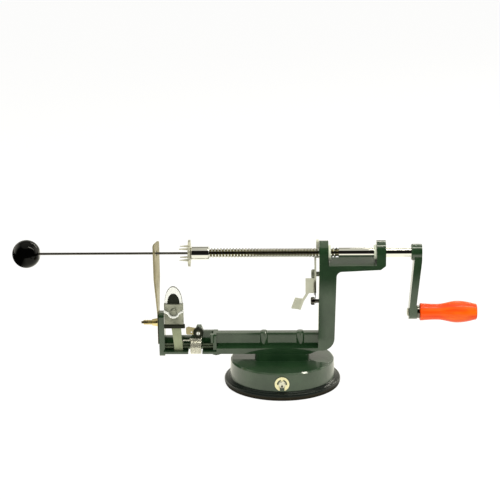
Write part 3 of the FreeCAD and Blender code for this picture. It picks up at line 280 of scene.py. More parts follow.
# ---------------------------------------------------------------- suction cup
# A thick moulded rubber cup: a glossy shoulder under the housing, then a matt skirt that spreads to
# the table. The housing's foot stands on its shoulder. The boss in its middle is moulded round the pull
# stud's plate. Profiles are pairs of height and radius in millimetres.
MM = 0.001
CUP_WALL = [(0.0, 57.2), (0.3, 57.8), (1.0, 58.2), (2.4, 58.6), (4.2, 58.8), (5.2, 58.7), (6.0, 58.3),
            (6.6, 57.6), (6.8, 56.8), (6.9, 56.0), (7.2, 55.2), (7.6, 54.5), (8.0, 54.0)]
CUP_SEAT = 50.0
CUP_LEDGE = 46.0
CUP_SKIN = 3.0
BOSS_R = 13.0
BOSS_TOP = 7.5
STUD_ROD_R = 4.0
PLATE_R = 10.0
PLATE_LOW = 3.2
PLATE_TOP = 5.2
SHINE_FROM = 0.0036
SHINE_BLUR = 0.0006
RUBBER = (0.016, 0.014, 0.009)
RUBBER_DUSTY = (0.026, 0.023, 0.014)
RUBBER_BLACK = (0.008, 0.011, 0.010)
TURN_STEPS = 96
RIGHT = (1, 0, 0)
BACK = (0, 1, 0)
UP = (0, 0, 1)


def drawn_line(name, points):
    """A line drawn by hand: one vertex is placed and then extruded from point to point."""
    bpy.ops.object.select_all(action="DESELECT")
    bpy.ops.mesh.primitive_plane_add(size=0.001, location=(0, 0, 0))
    obj = bpy.context.object
    obj.name = obj.data.name = name
    bpy.ops.object.mode_set(mode="EDIT")
    bpy.ops.mesh.merge(type="CENTER")
    bpy.ops.transform.translate(value=points[0])
    for here, there in zip(points, points[1:]):
        step = Vector(there) - Vector(here)
        bpy.ops.mesh.extrude_region_move(TRANSFORM_OT_translate={"value": step})
    bpy.ops.object.mode_set(mode="OBJECT")
    return obj


def turned(name, profile, centre, axis, side, steps=TURN_STEPS, smooth=40):
    """A turned piece: profile holds (along, radius) pairs from the centre, and is spun round the axis."""
    centre, axis, side = Vector(centre), Vector(axis), Vector(side)
    obj = drawn_line(name, [centre + axis * a + side * r for a, r in profile])
    bpy.ops.object.mode_set(mode="EDIT")
    bpy.ops.mesh.select_all(action="SELECT")
    bpy.ops.mesh.spin(steps=steps, angle=2 * math.pi, center=centre, axis=axis)
    bpy.ops.mesh.select_all(action="SELECT")
    bpy.ops.mesh.remove_doubles(threshold=1e-6)
    bpy.ops.mesh.normals_make_consistent(inside=False)
    bpy.ops.object.mode_set(mode="OBJECT")
    bpy.ops.object.shade_smooth_by_angle(angle=math.radians(smooth))
    return obj


def arc(along, radius, size, start, end, steps=6):
    """Points of a round edge in a profile: size is its radius, and the angles run from the axis outwards."""
    angles = [math.radians(start + (end - start) * i / steps) for i in range(steps + 1)]
    return [(along + size * math.cos(a), radius + size * math.sin(a)) for a in angles]


def bent(obj, material, node):
    """Gives a piece its material, hides the solid it stands for and fixes its place in its mesh."""
    obj.data.materials.append(material)
    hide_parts(node)
    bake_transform(obj)


def rubber(name, deep, dusty, shoulder):
    """Dusty moulded rubber below, wiped clean and glossy on the shoulder above."""
    f = Finish(name, Specular_IOR_Level=0.22)
    place = f.place()
    dust = f.span(f.noise(place, 120, 5, 0.7), 0.4, 0.75)
    grain = f.noise(place, 2200, 2)
    clean = f.span(f.part(place, 2), SHINE_FROM, SHINE_FROM + SHINE_BLUR)
    skirt = f.mix(deep, dusty, dust)
    return f.wire(Base_Color=f.mix(skirt, shoulder, clean),
                  Roughness=0.50 + 0.22 * dust - 0.42 * clean,
                  Normal=f.bump(grain, 0.12, 0.0002))


cup_rubber = rubber("moulded_rubber", RUBBER, RUBBER_DUSTY, RUBBER_BLACK)
cup_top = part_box("suction_cup")[1].z
foot_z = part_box("base_housing")[0].z
cup_profile = [(0.0, BOSS_R * MM)] + [(z * MM, r * MM) for z, r in CUP_WALL]
cup_profile += [(foot_z, CUP_SEAT * MM), (cup_top, CUP_SEAT * MM), (cup_top, CUP_LEDGE * MM),
                (CUP_SKIN * MM, CUP_LEDGE * MM), (CUP_SKIN * MM, BOSS_R * MM), (0.0, BOSS_R * MM)]
rubber_cup = turned("rubber_cup", cup_profile, (0, 0, 0), UP, RIGHT, smooth=60)
fit(rubber_cup, cup_rubber, "suction_cup")
boss_profile = [(0, 0), (0, BOSS_R), (BOSS_TOP, BOSS_R), (BOSS_TOP, STUD_ROD_R), (PLATE_TOP, STUD_ROD_R),
                (PLATE_TOP, PLATE_R), (PLATE_LOW, PLATE_R), (PLATE_LOW, 0)]
cup_boss = turned("cup_boss", [(z * MM, r * MM) for z, r in boss_profile], (0, 0, 0), UP, RIGHT)
bent(cup_boss, cup_rubber, "suction_cup")


# ---------------------------------------------------------------- axle, clip and lever of the suction
# A zinc plated axle crosses the housing. An E-clip holds its front end, and the lever that pulls the
# cup is pressed on at the back.
CLIP_EDGE = 0.00018
AXLE_EDGE = 0.0003
LEVER_EDGE = 0.0008
ZINC = (0.74, 0.73, 0.62)
ZINC_DULL = (0.50, 0.49, 0.40)
CENTRE_HOLE_SHADE = (0.05, 0.04, 0.035)
CENTRE_HOLE = (0.0008, 0.0013)


def metal(name, bright, dull, gloss, streak=(1, 1, 1), scale=160, wear=0.2, bump=0.05, bare=1.0):
    """Bare or plated metal with a fine direction in its finish and some cloudiness."""
    f = Finish(name, Metallic=bare)
    lines = f.noise(f.stretched(streak), scale, 4, 0.6)
    cloud = f.span(f.noise(f.place(), 90, 3), *CLOUD_SPAN)
    return f.wire(Base_Color=f.mix(bright, dull, cloud * 0.5 + lines * 0.4),
                  Roughness=gloss + wear * cloud * lines, Normal=f.bump(lines, bump, 0.0002))


zinc = metal("zinc_plate", ZINC, ZINC_DULL, 0.34, bare=0.6)
axle_low, axle_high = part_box("cam_axle")
# The axle's end is painted dark within a small radius of its axis: painted shade in its centre hole.
drilled = Finish("centre_drilled_zinc", Metallic=0.6, Roughness=0.34)
from_axis = drilled.distance((axle_low + axle_high) / 2, 0, 2)
drilled_zinc = drilled.wire(Base_Color=drilled.mix(CENTRE_HOLE_SHADE, ZINC, drilled.span(from_axis, *CENTRE_HOLE)))
dressed("cam_axle", "suction_axle", AXLE_EDGE, 2, drilled_zinc)
yellow_zinc = metal("yellow_zinc", (0.90, 0.86, 0.58), (0.74, 0.68, 0.42), 0.30, bare=0.3)
dressed("axle_clip", "axle_e_clip", CLIP_EDGE, 2, yellow_zinc)
dressed("suction_lever", "vacuum_lever", LEVER_EDGE, 3, green_enamel)
for node in ("pull_stud", "base_screws"):
    paint(node, zinc)


# ---------------------------------------------------------------- casting
# Beam, end post, column, bridge and bearing posts are one iron casting in the same green enamel as the
# housing. It stands on the plinth and two screws from below hold it.
CASTING_EDGE = 0.0008
BRIDGE_SPAN = (0.047, 0.093)
BRIDGE_BACK_Y = 0.0119
BRIDGE_TOP = (0.1237, 0.1243)
BRIDGE_RISE = 0.0030

casting = merged_copy("frame_casting", "main_casting")
# The bridge's top rises a little towards the back, under the shank.
bpy.ops.object.mode_set(mode="EDIT")
bpy.ops.mesh.select_all(action="DESELECT")
bpy.ops.object.mode_set(mode="OBJECT")
for vertex in casting.data.vertices:
    x, y, z = vertex.co
    across = BRIDGE_SPAN[0] < x < BRIDGE_SPAN[1] and y > BRIDGE_BACK_Y
    vertex.select = across and BRIDGE_TOP[0] < z < BRIDGE_TOP[1]
bpy.ops.object.mode_set(mode="EDIT")
bpy.ops.transform.translate(value=(0, 0, BRIDGE_RISE))
bpy.ops.object.mode_set(mode="OBJECT")
fit(soften(casting, CASTING_EDGE, 3), green_enamel, "frame_casting")


# ---------------------------------------------------------------- bearing bushes
# Two flanged bushes carry the lead screw, one in each post. They are moulded in pale nylon and pressed
# in, with their flanges facing each other.
BUSH_EDGE = 0.0004
NYLON = (0.62, 0.66, 0.58)


def plastic(name, colour, gloss, grain=1500, strength=0.03, shine=0.5):
    f = Finish(name, Specular_IOR_Level=shine)
    place = f.place()
    cloud = f.noise(place, 70, 3)
    fine = f.noise(place, grain, 2)
    light = [min(1.0, c * 1.18) for c in colour]
    return f.wire(Base_Color=f.mix(colour, light, cloud), Roughness=gloss + 0.08 * fine,
                  Normal=f.bump(fine, strength, 0.0002))


nylon = plastic("moulded_nylon", NYLON, 0.38)
dressed("front_bush", "front_nylon_bush", BUSH_EDGE, 2, nylon)
dressed("rear_bush", "rear_nylon_bush", BUSH_EDGE, 2, nylon)


# ---------------------------------------------------------------- lead screw
# A chromed rod with a coarse rolled thread on its left part. Its plain shank runs in the bushes, and
# the crank is riveted on its end.
SCREW_PITCH = 0.003175
SCREW_R = 0.00475
THREAD_DEPTH = 0.0011
THREAD_FORM = [(0.0, False), (0.14, False), (0.34, True), (0.66, True), (0.86, False), (1.0, False)]
THREAD_STEPS = 36
THREAD_SMOOTH = 38
THREAD_END = 0.0562
CORE_LENGTH = 0.004
SHANK_R = 0.0048
SHANK_LAP = 0.002
SHOULDER = 0.0006
SPIGOT_R = 0.0034
SPIGOT_LENGTH = 0.0104
SPIGOT_CHAMFER = 0.0004
CHROME = (0.86, 0.86, 0.82)
CHROME_DULL = (0.66, 0.66, 0.62)
THREAD_ROOT_SHADE = (0.26, 0.24, 0.15)


def threaded(name, left, right, radius, pitch, depth, z, steps=THREAD_STEPS):
    """A threaded stretch of rod along X: one pitch of the form, root and crest, is turned and advanced."""
    form = [(at * pitch, 0, radius if crest else radius - depth) for at, crest in THREAD_FORM]
    obj = drawn_line(name, form)
    turns = max(1, round((right - left) / pitch))
    modify(obj, "SCREW", axis="X", angle=2 * math.pi, screw_offset=pitch, iterations=turns, steps=steps,
           render_steps=steps, use_merge_vertices=True, merge_threshold=1e-6, use_normal_calculate=True)
    pick(obj)
    obj.scale.x = (right - left) / (turns * pitch + pitch)
    obj.location = (left, 0, z)
    bpy.ops.object.transform_apply(location=True, rotation=True, scale=True)
    bpy.ops.object.shade_smooth_by_angle(angle=math.radians(THREAD_SMOOTH))
    return obj


def joined(*objs):
    pick(objs[0])
    for obj in objs[1:]:
        obj.select_set(True)
    bpy.ops.object.join()
    return objs[0]


def root_shaded_thread(name, z, root, crest):
    """Chrome on a thread along X at height z, painted darker and rougher towards the root: painted shade in
    the thread's root.
    """
    f = Finish(name, Metallic=1.0)
    # clean grows from the root to the crest; towards the root the colour goes over to painted shade.
    clean = f.span(f.distance((0, 0, z), 1, 2), root, crest)
    cloud = f.noise(f.place(), 300, 3)
    colour = f.mix(THREAD_ROOT_SHADE, CHROME, f.span(clean + 0.3 * cloud, 0.45, 0.80))
    return f.wire(Base_Color=colour, Roughness=0.24 - 0.20 * clean, Normal=f.bump(cloud, 0.02, 0.0001))


chrome = metal("polished_chrome", CHROME, CHROME_DULL, 0.03, wear=0.05, bump=0.01)
screw_low, screw_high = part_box("lead_screw")
axis_z = (screw_low.z + screw_high.z) / 2
root_r = SCREW_R - THREAD_DEPTH
thread = threaded("lead_screw_rod", screw_low.x, THREAD_END, SCREW_R, SCREW_PITCH, THREAD_DEPTH, axis_z)
shank_length = screw_high.x - THREAD_END
hub_at = shank_length - SPIGOT_LENGTH
shank_profile = [(-SHANK_LAP, 0.0), (-SHANK_LAP, root_r), (0.0, root_r), (SHOULDER, SHANK_R),
                 (hub_at, SHANK_R), (hub_at, SPIGOT_R), (shank_length - SPIGOT_CHAMFER, SPIGOT_R),
                 (shank_length, SPIGOT_R - SPIGOT_CHAMFER), (shank_length, 0.0)]
shank = turned("lead_screw_shank", shank_profile, (THREAD_END, 0, axis_z), RIGHT, UP, 48)
core = turned("lead_screw_core", [(0.0, 0.0), (0.0, root_r), (CORE_LENGTH, root_r)],
              (screw_low.x, 0, axis_z), RIGHT, UP, THREAD_STEPS)
thread_chrome = root_shaded_thread("chrome_thread_painted_root_shade", axis_z, root_r, SCREW_R)
fit(joined(thread, shank, core), thread_chrome, "lead_screw")


# ---------------------------------------------------------------- collar and fork
# The chromed collar is pinned on the screw's left end. The fork's toothed steel disc is riveted to it,
# and its four prongs grip the potato.
COLLAR_EDGE = 0.0005
FORK_EDGE = 0.00025
dressed("fork_collar", "screw_collar", COLLAR_EDGE, 3, chrome)
dressed("fork", "prong_fork", FORK_EDGE, 2, zinc)


# ---------------------------------------------------------------- crank and grip
# A cast crank arm in green enamel, a steel washer and spindle, and a turned wooden grip that is
# dipped in orange-red lacquer.
CRANK_EDGE = 0.0009
GRIP_LENGTH = 0.0570
GRIP_NECK = 0.00875
GRIP_WAIST = 0.0079
GRIP_BELLY = 0.0109
GRIP_END = 0.0076
WAIST_AT = 0.30
BELLY_AT = 0.66
GRIP_STEPS = 28
NECK_ROUND = 0.0012
END_ROUND = 0.0016
END_INSET = 0.0010
ROUND_STEPS = 5
RECESS_R = 0.0046
RECESS_DEPTH = 0.0020
RECESS_CHAMFER = 0.0004
PIN_BORE_R = 0.0027
WASHER_EDGE = 0.0004
LACQUER = (0.88, 0.052, 0.001)
LACQUER_LIT = (0.92, 0.150, 0.005)
LACQUER_DARK = (0.70, 0.024, 0.001)
STEEL_DARK = (0.20, 0.19, 0.17)

dark_steel = metal("dark_polished_steel", STEEL_DARK, (0.10, 0.095, 0.085), 0.16, streak=(0.05, 1, 1),
                   scale=900)
dressed("crank_arm", "crank", CRANK_EDGE, 3, green_enamel)
dressed("grip_washer", "spindle_washer", WASHER_EDGE, 2, dark_steel)
dressed("grip_spindle", "grip_rivet", WASHER_EDGE, 2, zinc)


def grip_radius(share):
    """Radius of the grip at a share of its length: a neck, a waist, a belly and a narrower end."""
    if share < WAIST_AT:
        return GRIP_WAIST + (GRIP_NECK - GRIP_WAIST) * (1 - math.sin(math.pi / 2 * share / WAIST_AT))
    if share < BELLY_AT:
        part = (share - WAIST_AT) / (BELLY_AT - WAIST_AT)
        return GRIP_WAIST + (GRIP_BELLY - GRIP_WAIST) * (1 - math.cos(math.pi * part)) / 2
    part = (share - BELLY_AT) / (1 - BELLY_AT)
    return GRIP_END + (GRIP_BELLY - GRIP_END) * math.cos(math.pi / 2 * part)


def lacquered_wood(name):
    """Grain that runs along the grip under a clear glossy orange-red lacquer."""
    f = Finish(name, Coat_Roughness=0.08, Coat_Weight=0.18, Specular_IOR_Level=0.25)
    grain = f.noise(f.stretched((0.09, 1, 1)), 420, 5, 0.65)
    bands = f.span(f.noise(f.stretched((0.05, 1, 1)), 130, 2), 0.40, 0.66)
    colour = f.mix(LACQUER, LACQUER_LIT, bands)
    colour = f.mix(colour, LACQUER_DARK, f.span(grain, 0.58, 0.82) * 0.6)
    return f.wire(Base_Color=colour, Roughness=0.30 + 0.15 * grain, Normal=f.bump(grain, 0.10, 0.0003))


grip_low, grip_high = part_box("grip")
pin_z = (grip_low.z + grip_high.z) / 2
grip_profile = [(0.0, PIN_BORE_R)] + arc(NECK_ROUND, GRIP_NECK - NECK_ROUND, NECK_ROUND, 180, 90, ROUND_STEPS)
grip_profile += [(GRIP_LENGTH * i / GRIP_STEPS, grip_radius(i / GRIP_STEPS)) for i in range(2, GRIP_STEPS)]
grip_profile += arc(GRIP_LENGTH - END_ROUND, GRIP_END - END_INSET, END_ROUND, 60, 0, ROUND_STEPS)
grip_profile += [(GRIP_LENGTH, RECESS_R + RECESS_CHAMFER), (GRIP_LENGTH - RECESS_CHAMFER, RECESS_R),
                 (GRIP_LENGTH - RECESS_DEPTH, RECESS_R), (GRIP_LENGTH - RECESS_DEPTH, PIN_BORE_R)]
wooden_grip = turned("wooden_grip", grip_profile, (grip_low.x, 0, pin_z), RIGHT, UP, 64)
fit(wooden_grip, lacquered_wood("orange_lacquered_wood"), "grip")


# ---------------------------------------------------------------- skewer and its ball
# A thin dark steel rod runs through potato and blade into the collar. A glossy black ball is moulded on
# its end as a handle, with a small flat where the rod goes in.
BALL_R = 0.0140
BALL_FLAT = 0.0130
BALL_STEPS = 40
SKEWER_BORE_R = 0.0012
BALL_BLACK = (0.0006, 0.0006, 0.0006)
ball_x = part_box("ball_knob")[0].x + BALL_R
flat_angle = math.degrees(math.acos(BALL_FLAT / BALL_R))
ball_profile = [(BALL_FLAT, SKEWER_BORE_R)] + arc(0.0, 0.0, BALL_R, flat_angle, 180, BALL_STEPS)
black_ball = turned("black_ball", ball_profile, (ball_x, 0, axis_z), RIGHT, UP, 72)
fit(black_ball, plastic("black_gloss", BALL_BLACK, 0.02, shine=0.16), "ball_knob")
paint("skewer_rod", dark_steel)


# ---------------------------------------------------------------- slicing blade, stud and wing nut
# A ground steel strip, twisted a little so that its edge pares the potato. A yellow passivated wing nut
# clamps it to the end post on a threaded stud.
BLADE_EDGE = 0.00015
NUT_EDGE = 0.0007
STUD_PITCH = 0.0008
STUD_DEPTH = 0.0004
STUD_CHAMFER = 0.0003
STUD_TIP = 0.0004
STUD_CORE = 0.002
STUD_STEPS = 24
GROUND_STEEL = (0.42, 0.37, 0.22)
BRASSY = (0.92, 0.80, 0.46)

ground_steel = metal("ground_blade_steel", GROUND_STEEL, (0.30, 0.26, 0.15), 0.28, streak=(1, 0.08, 1),
                     scale=1400, bare=0.7)
brassy = metal("yellow_passivate", BRASSY, (0.62, 0.48, 0.18), 0.16, bare=0.95)
dressed("slicing_blade", "paring_blade", BLADE_EDGE, 2, ground_steel)
stud_low, stud_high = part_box("blade_stud")
stud_z = (stud_low.z + stud_high.z) / 2
stud_r = (stud_high.z - stud_low.z) / 2
stud_core_r = stud_r - STUD_DEPTH
stud_thread = threaded("clamp_stud", stud_low.x + STUD_TIP, stud_high.x, stud_r, STUD_PITCH, STUD_DEPTH,
                       stud_z, STUD_STEPS)
stud_profile = [(0.0, 0.0), (0.0, stud_core_r - STUD_CHAMFER), (STUD_TIP, stud_core_r),
                (STUD_CORE, stud_core_r)]
stud_end = turned("clamp_stud_end", stud_profile, (stud_low.x, 0, stud_z), RIGHT, UP, STUD_STEPS)
fit(joined(stud_thread, stud_end), brassy, "blade_stud")
dressed("wing_nut", "brass_wing_nut", NUT_EDGE, 3, brassy, smooth=60)


# ---------------------------------------------------------------- peeler
# A sprung arm turns on a plated rod. It carries a chromed head with a bent strip blade, a screw and an
# arched guard, and a dark bar below the head.
ARM_EDGE = 0.0006
HEAD_EDGE = 0.0007
STRIP_EDGE = 0.00015
SPINDLE_EDGE = 0.0004
CLAMP_EDGE = 0.0006
INSERT_EDGE = 0.0003
FACE_SPAN = (0.80, 0.95)
BAR_BLACK = (0.008, 0.010, 0.006)
STRIP_ZINC = (0.32, 0.36, 0.25)
# Painted shade for the rounded edges and the slots of bright steel.
RIM_AND_SLOT_SHADE = (0.10, 0.10, 0.08)
NICKEL = (0.42, 0.43, 0.36)
BRIGHT_STEEL = (0.90, 0.92, 0.96)


def edge_shaded(name, face, rim):
    """Bright steel on faces turned to the front, painted darker where the faces turn away: painted shade on
    the rounded edges.
    """
    f = Finish(name, Metallic=0.1)
    facing_front = f.part(f.node("ShaderNodeTexCoord", output="Normal"), 1) * -1.0
    cloud = f.noise(f.place(), 300, 3)
    return f.wire(Base_Color=f.mix(rim, face, f.span(facing_front, *FACE_SPAN)),
                  Roughness=0.30 + 0.12 * cloud, Normal=f.bump(cloud, 0.03, 0.0002))


black_paint = plastic("black_paint", BAR_BLACK, 0.40, grain=900, strength=0.12, shine=0.2)
strip_zinc = metal("dull_zinc_strip", STRIP_ZINC, (0.27, 0.30, 0.20), 0.45, streak=(1, 1, 0.2), scale=600,
                   bare=0.3)
rough_nickel = metal("cast_nickel", NICKEL, (0.08, 0.09, 0.07), 0.26, scale=500, wear=0.45, bump=0.3,
                     bare=0.65)
edge_shaded_steel = edge_shaded("bright_steel_painted_edge_shade", BRIGHT_STEEL, RIM_AND_SLOT_SHADE)
# The rod's steel is coloured dark green: a painted reflection of the green casting round it.
steel_with_painted_green_reflection = metal("steel_with_painted_green_reflection", (0.16, 0.20, 0.14), (0.07, 0.09, 0.06), 0.16, bare=0.9)
bright_steel = metal("bright_pressed_steel", BRIGHT_STEEL, (0.84, 0.86, 0.88), 0.34, bare=0.12)
dressed("peeler_rod", "peeler_spindle", SPINDLE_EDGE, 2, steel_with_painted_green_reflection)
dressed("peeler_arm", "peeler_lever_arm", ARM_EDGE, 3, strip_zinc)
dressed("peeler_head", "peeler_block", HEAD_EDGE, 3, rough_nickel)
dressed("peeler_crossbar", "peeler_bar", HEAD_EDGE, 3, black_paint)
dressed("peeler_screw", "peeler_clamp_screw", CLAMP_EDGE, 3, rough_nickel)
dressed("peeler_blade", "peeler_strip", STRIP_EDGE, 2, bright_steel)
# The hood's rounded edges are painted darker: painted shade.
dressed("peeler_guard", "peeler_hood", HEAD_EDGE, 3, edge_shaded_steel)
# The black insert in the hood's opening is a dark sheet that stands in for the shade inside the hood.
dressed("guard_insert", "hood_shade_insert", INSERT_EDGE, 2, black_paint)


# ---------------------------------------------------------------- peeler spring
# A close-wound torsion spring of bright wire round the rod. One leg pushes the arm, the other rests on
# the back wall of the casting.
COIL_TURNS = 9
COIL_WIRE = 0.00135
COIL_POINTS = 28
COIL_PITCH = COIL_WIRE * 1.01
ARM_LEG_TURN = 22 / 360
ARM_LEG_BEND = 0.0008
WALL_LEG_BEND = 0.001
WALL_Y = 0.0059
SPRING_STEEL = (0.84, 0.83, 0.75)


def wire_along(name, points, diameter):
    """Round wire bent along the points."""
    curve = bpy.data.curves.new(name, "CURVE")
    curve.dimensions = "3D"
    curve.bevel_depth = diameter / 2
    curve.bevel_resolution = 3
    curve.use_fill_caps = True
    spline = curve.splines.new("POLY")
    spline.points.add(len(points) - 1)
    for point, co in zip(spline.points, points):
        point.co = (*co, 1)
    obj = bpy.data.objects.new(name, curve)
    bpy.context.scene.collection.objects.link(obj)
    pick(obj)
    bpy.ops.object.convert(target="MESH")
    bpy.ops.object.shade_smooth()
    return obj


def coil(start, along, side, up, radius, pitch, turns, from_turn=0.0, per_turn=COIL_POINTS):
    """Points of a helix round a line from start: side and up span the circle."""
    start, along, side, up = Vector(start), Vector(along), Vector(side), Vector(up)
    points = []
    for i in range(round(turns * per_turn) + 1):
        turn = i / per_turn
        a = 2 * math.pi * (turn + from_turn)
        points.append(start + along * pitch * turn + (side * math.cos(a) + up * math.sin(a)) * radius)
    return points


spring_steel = metal("bright_spring_wire", SPRING_STEEL, (0.70, 0.69, 0.62), 0.18, bare=0.72)
spring_low, spring_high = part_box("peeler_spring")
peel_low, peel_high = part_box("peeler_rod")
rod_y, rod_z = (peel_low.y + peel_high.y) / 2, (peel_low.z + peel_high.z) / 2
coil_r = (rod_z - spring_low.z) - COIL_WIRE / 2
coil_left = spring_high.x - COIL_WIRE * COIL_TURNS
turns = COIL_TURNS - 1 + ARM_LEG_TURN
coil_start = (coil_left + COIL_WIRE / 2, rod_y, rod_z)
coil_points = coil(coil_start, RIGHT, UP, BACK, coil_r, COIL_PITCH, turns, -ARM_LEG_TURN)
first, last = coil_points[0], coil_points[-1]
arm_leg = [(spring_low.x, first.y, first.z), (first.x - ARM_LEG_BEND, first.y, first.z)]
wall_leg = [(last.x, last.y + WALL_LEG_BEND, last.z), (last.x, WALL_Y, last.z)]
torsion_spring = wire_along("peeler_torsion_spring", arm_leg + coil_points + wall_leg, COIL_WIRE)
bent(torsion_spring, spring_steel, "peeler_spring")


# ---------------------------------------------------------------- latch of the arm
# A knob in black paint turns on a slotted steel pin in the casting's ear. The pale steel plate behind it
# reaches the arm.
KNOB_EDGE = 0.0005
PLATE_EDGE = 0.0003
SLOT_SHADE_W = 0.0007
SLOT_SHADE_BLUR = 0.0001
PIN_GLINT_R = 0.0017
PIN_GLINT_BLUR = 0.0003


def slotted(name, centre, face, dark):
    """A round head painted bright only in its middle, as a painted glint, with painted shade in its slot and
    on its rim.
    """
    f = Finish(name, Metallic=0.3, Roughness=0.3)
    beside = abs(f.part(f.place(), 0) - centre.x)
    off_slot = f.span(beside, SLOT_SHADE_W / 2, SLOT_SHADE_W / 2 + SLOT_SHADE_BLUR)
    in_glint = f.span(f.distance(centre, 0, 2), PIN_GLINT_R, PIN_GLINT_R - PIN_GLINT_BLUR)
    return f.wire(Base_Color=f.mix(dark, face, off_slot * in_glint))


dressed("arm_latch", "latch_knob", KNOB_EDGE, 3, black_paint)
dressed("latch_hook", "latch_plate", PLATE_EDGE, 2, ground_steel)
pin_low, pin_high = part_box("latch_pin")
# The pin's head gets a painted glint in its middle and painted shade in its slot and round its rim.
glint_painted_steel = slotted("steel_painted_glint_and_slot_shade", (pin_low + pin_high) / 2, BRIGHT_STEEL, RIM_AND_SLOT_SHADE)
dressed("latch_pin", "latch_rivet", PLATE_EDGE, 2, glint_painted_steel)


# ---------------------------------------------------------------- release lever
# A pressed steel lever on a screw in the column. Its half nut rides in the thread, and the bent tab
# below is for the thumb.
PIVOT_EDGE = 0.0005
ANCHOR_EDGE = 0.0004
LEVER_STEEL = (0.68, 0.69, 0.60)
lever_steel = metal("satin_zinc", LEVER_STEEL, (0.52, 0.53, 0.46), 0.42, streak=(1, 1, 0.15), scale=700,
                    bare=0.35)
dressed("release_lever", "release_plate", PLATE_EDGE, 2, lever_steel)
dressed("half_nut", "thread_half_nut", PLATE_EDGE, 2, lever_steel)
dressed("release_pivot_screw", "lever_pivot", PIVOT_EDGE, 3, rough_nickel)
dressed("spring_screw", "spring_anchor", ANCHOR_EDGE, 2, dark_steel)


# ---------------------------------------------------------------- release spring
# A thin pull spring that holds the half nut in the thread. Its lower loop goes round the anchor screw,
# and its upper end hooks into the lever's tab.
PULL_WIRE = 0.0007
PULL_TURNS = 12
PULL_POINTS = 14
PULL_TAIL = 0.0038
PULL_HOOK = 0.0012
CROOK_RISE = 0.0006
HOOK_SHANK_R = 0.0019
LOOP_TURNS = 0.8
LOOP_FROM = 0.2
LOOP_POINTS = 20

dark_wire = metal("dark_spring_wire", (0.40, 0.38, 0.30), (0.24, 0.23, 0.18), 0.25)
pull_low, pull_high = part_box("release_spring")
tab_y = pull_high.y
pull_r = (pull_high.x - pull_low.x) / 2 - PULL_WIRE / 2
pull_x, pull_y = (pull_low.x + pull_high.x) / 2, pull_low.y + PULL_WIRE / 2 + pull_r
pull_top = pull_high.z - PULL_WIRE / 2
loop_start = (pull_x + pull_r, pull_y, pull_low.z - HOOK_SHANK_R)
loop_r = HOOK_SHANK_R + PULL_WIRE / 2
loop = coil(loop_start, (-1, 0, 0), UP, BACK, loop_r, PULL_WIRE, LOOP_TURNS, LOOP_FROM, LOOP_POINTS)
coil_bottom = Vector((pull_x, pull_y, pull_low.z + PULL_TAIL))
pull_pitch = (pull_top - PULL_HOOK - coil_bottom.z) / PULL_TURNS
winding = coil(coil_bottom, UP, RIGHT, BACK, pull_r, pull_pitch, PULL_TURNS, 0.0, PULL_POINTS)
crook = [(pull_x, pull_y, pull_top - CROOK_RISE), (pull_x, pull_y, pull_top), (pull_x, tab_y, pull_top)]
pull_spring = wire_along("release_pull_spring", loop + winding + crook, PULL_WIRE)
bent(pull_spring, dark_wire, "release_spring")


# ---------------------------------------------------------------- studio
# A pale floor without end, a white room for the eye, and soft light from above and from both sides.
# The part itself sees a small white table in front, with a painted shadow round the base, and a dark floor
# elsewhere.
FLOOR_SIZE = 60.0
FLOOR_DROP = 0.0002
FLOOR_TONE = 0.12
FLOOR_GLOW = 0.92
WARM_WHITE = (1.0, 0.98, 0.84)
NEAR_TABLE = 1.15
DARK_FRONT = 0.010
TABLE_FROM = (-0.40, -0.31)
TABLE_SIDES = (0.24, 0.33)
BASE_SHADOW_SPAN = (0.055, 0.078)
DARK_PATCH_CENTRE = (0.003, -0.240)
DARK_PATCH_HALF = (0.034, 0.078)
DARK_PATCH_BLUR = (0.012, 0.010)


def shade(level):
    return tuple(level * c for c in WARM_WHITE)


f = Finish("pale_floor", Roughness=0.9, Emission_Strength=1.0, Specular_IOR_Level=0.0)
dark = shade(DARK_FRONT)
x, y = (f.part(f.place(), i) for i in (0, 1))
# A ramp's factor starts at 0, so it takes y from 1 m in front.
table = f.ramp(y + 1.0, (1.0 + TABLE_FROM[0], dark), (1.0 + TABLE_FROM[1], shade(NEAR_TABLE)))
table = f.mix(table, dark, f.span(abs(x), *TABLE_SIDES))
# Round the base the table is painted dark: a painted shadow, seen only by the part.
table = f.mix(dark, table, f.span((x * x + y * y) ** 0.5, *BASE_SHADOW_SPAN))
# A dark patch is painted on the table in front, so that its reflection in the beam's web is darker.
dark_patch = [f.span(abs(at - centre), half + blur, half)
        for at, centre, half, blur in zip((x, y), DARK_PATCH_CENTRE, DARK_PATCH_HALF, DARK_PATCH_BLUR)]
table = f.mix(table, dark, dark_patch[0] * dark_patch[1])
eye = f.node("ShaderNodeLightPath", output="Is Camera Ray")
f.wire(Base_Color=f.mix((DARK_FRONT,) * 3, (FLOOR_TONE,) * 3, eye),
       Emission_Color=f.mix(table, (FLOOR_GLOW,) * 3, eye))
bpy.ops.mesh.primitive_plane_add(size=FLOOR_SIZE, location=(0, 0, -FLOOR_DROP))
floor = bpy.context.object
floor.name = "studio_floor"
floor.data.materials.append(f.material)


# ---------------------------------------------------------------- lamps
# Two long tubes over the right side draw lines of light on the chrome. Three soft boxes only light the
# surfaces: they stay out of the reflections, as with crossed filters.
TUBE_TARGET = (0, 0, 0.10)
BOX_TARGET = (0, 0, 0.08)
TUBES = (("lamp_front", (0.16, -0.245, 1.33), (1.8, -0.06, 1.33), 0.10, 9),
         ("lamp_back", (0.16, 1.174, 1.27), (1.7, 2.1, 1.0), 0.12, 9))
SOFT_BOXES = (("overhead", (0.0, 0.1, 1.6), (1.8, 0.9), 9),
              ("soft_key", (0.3, -1.3, 1.3), (1.4, 0.9), 17),
              ("front_fill", (-0.2, -2.0, 0.55), (1.6, 0.6), 18))


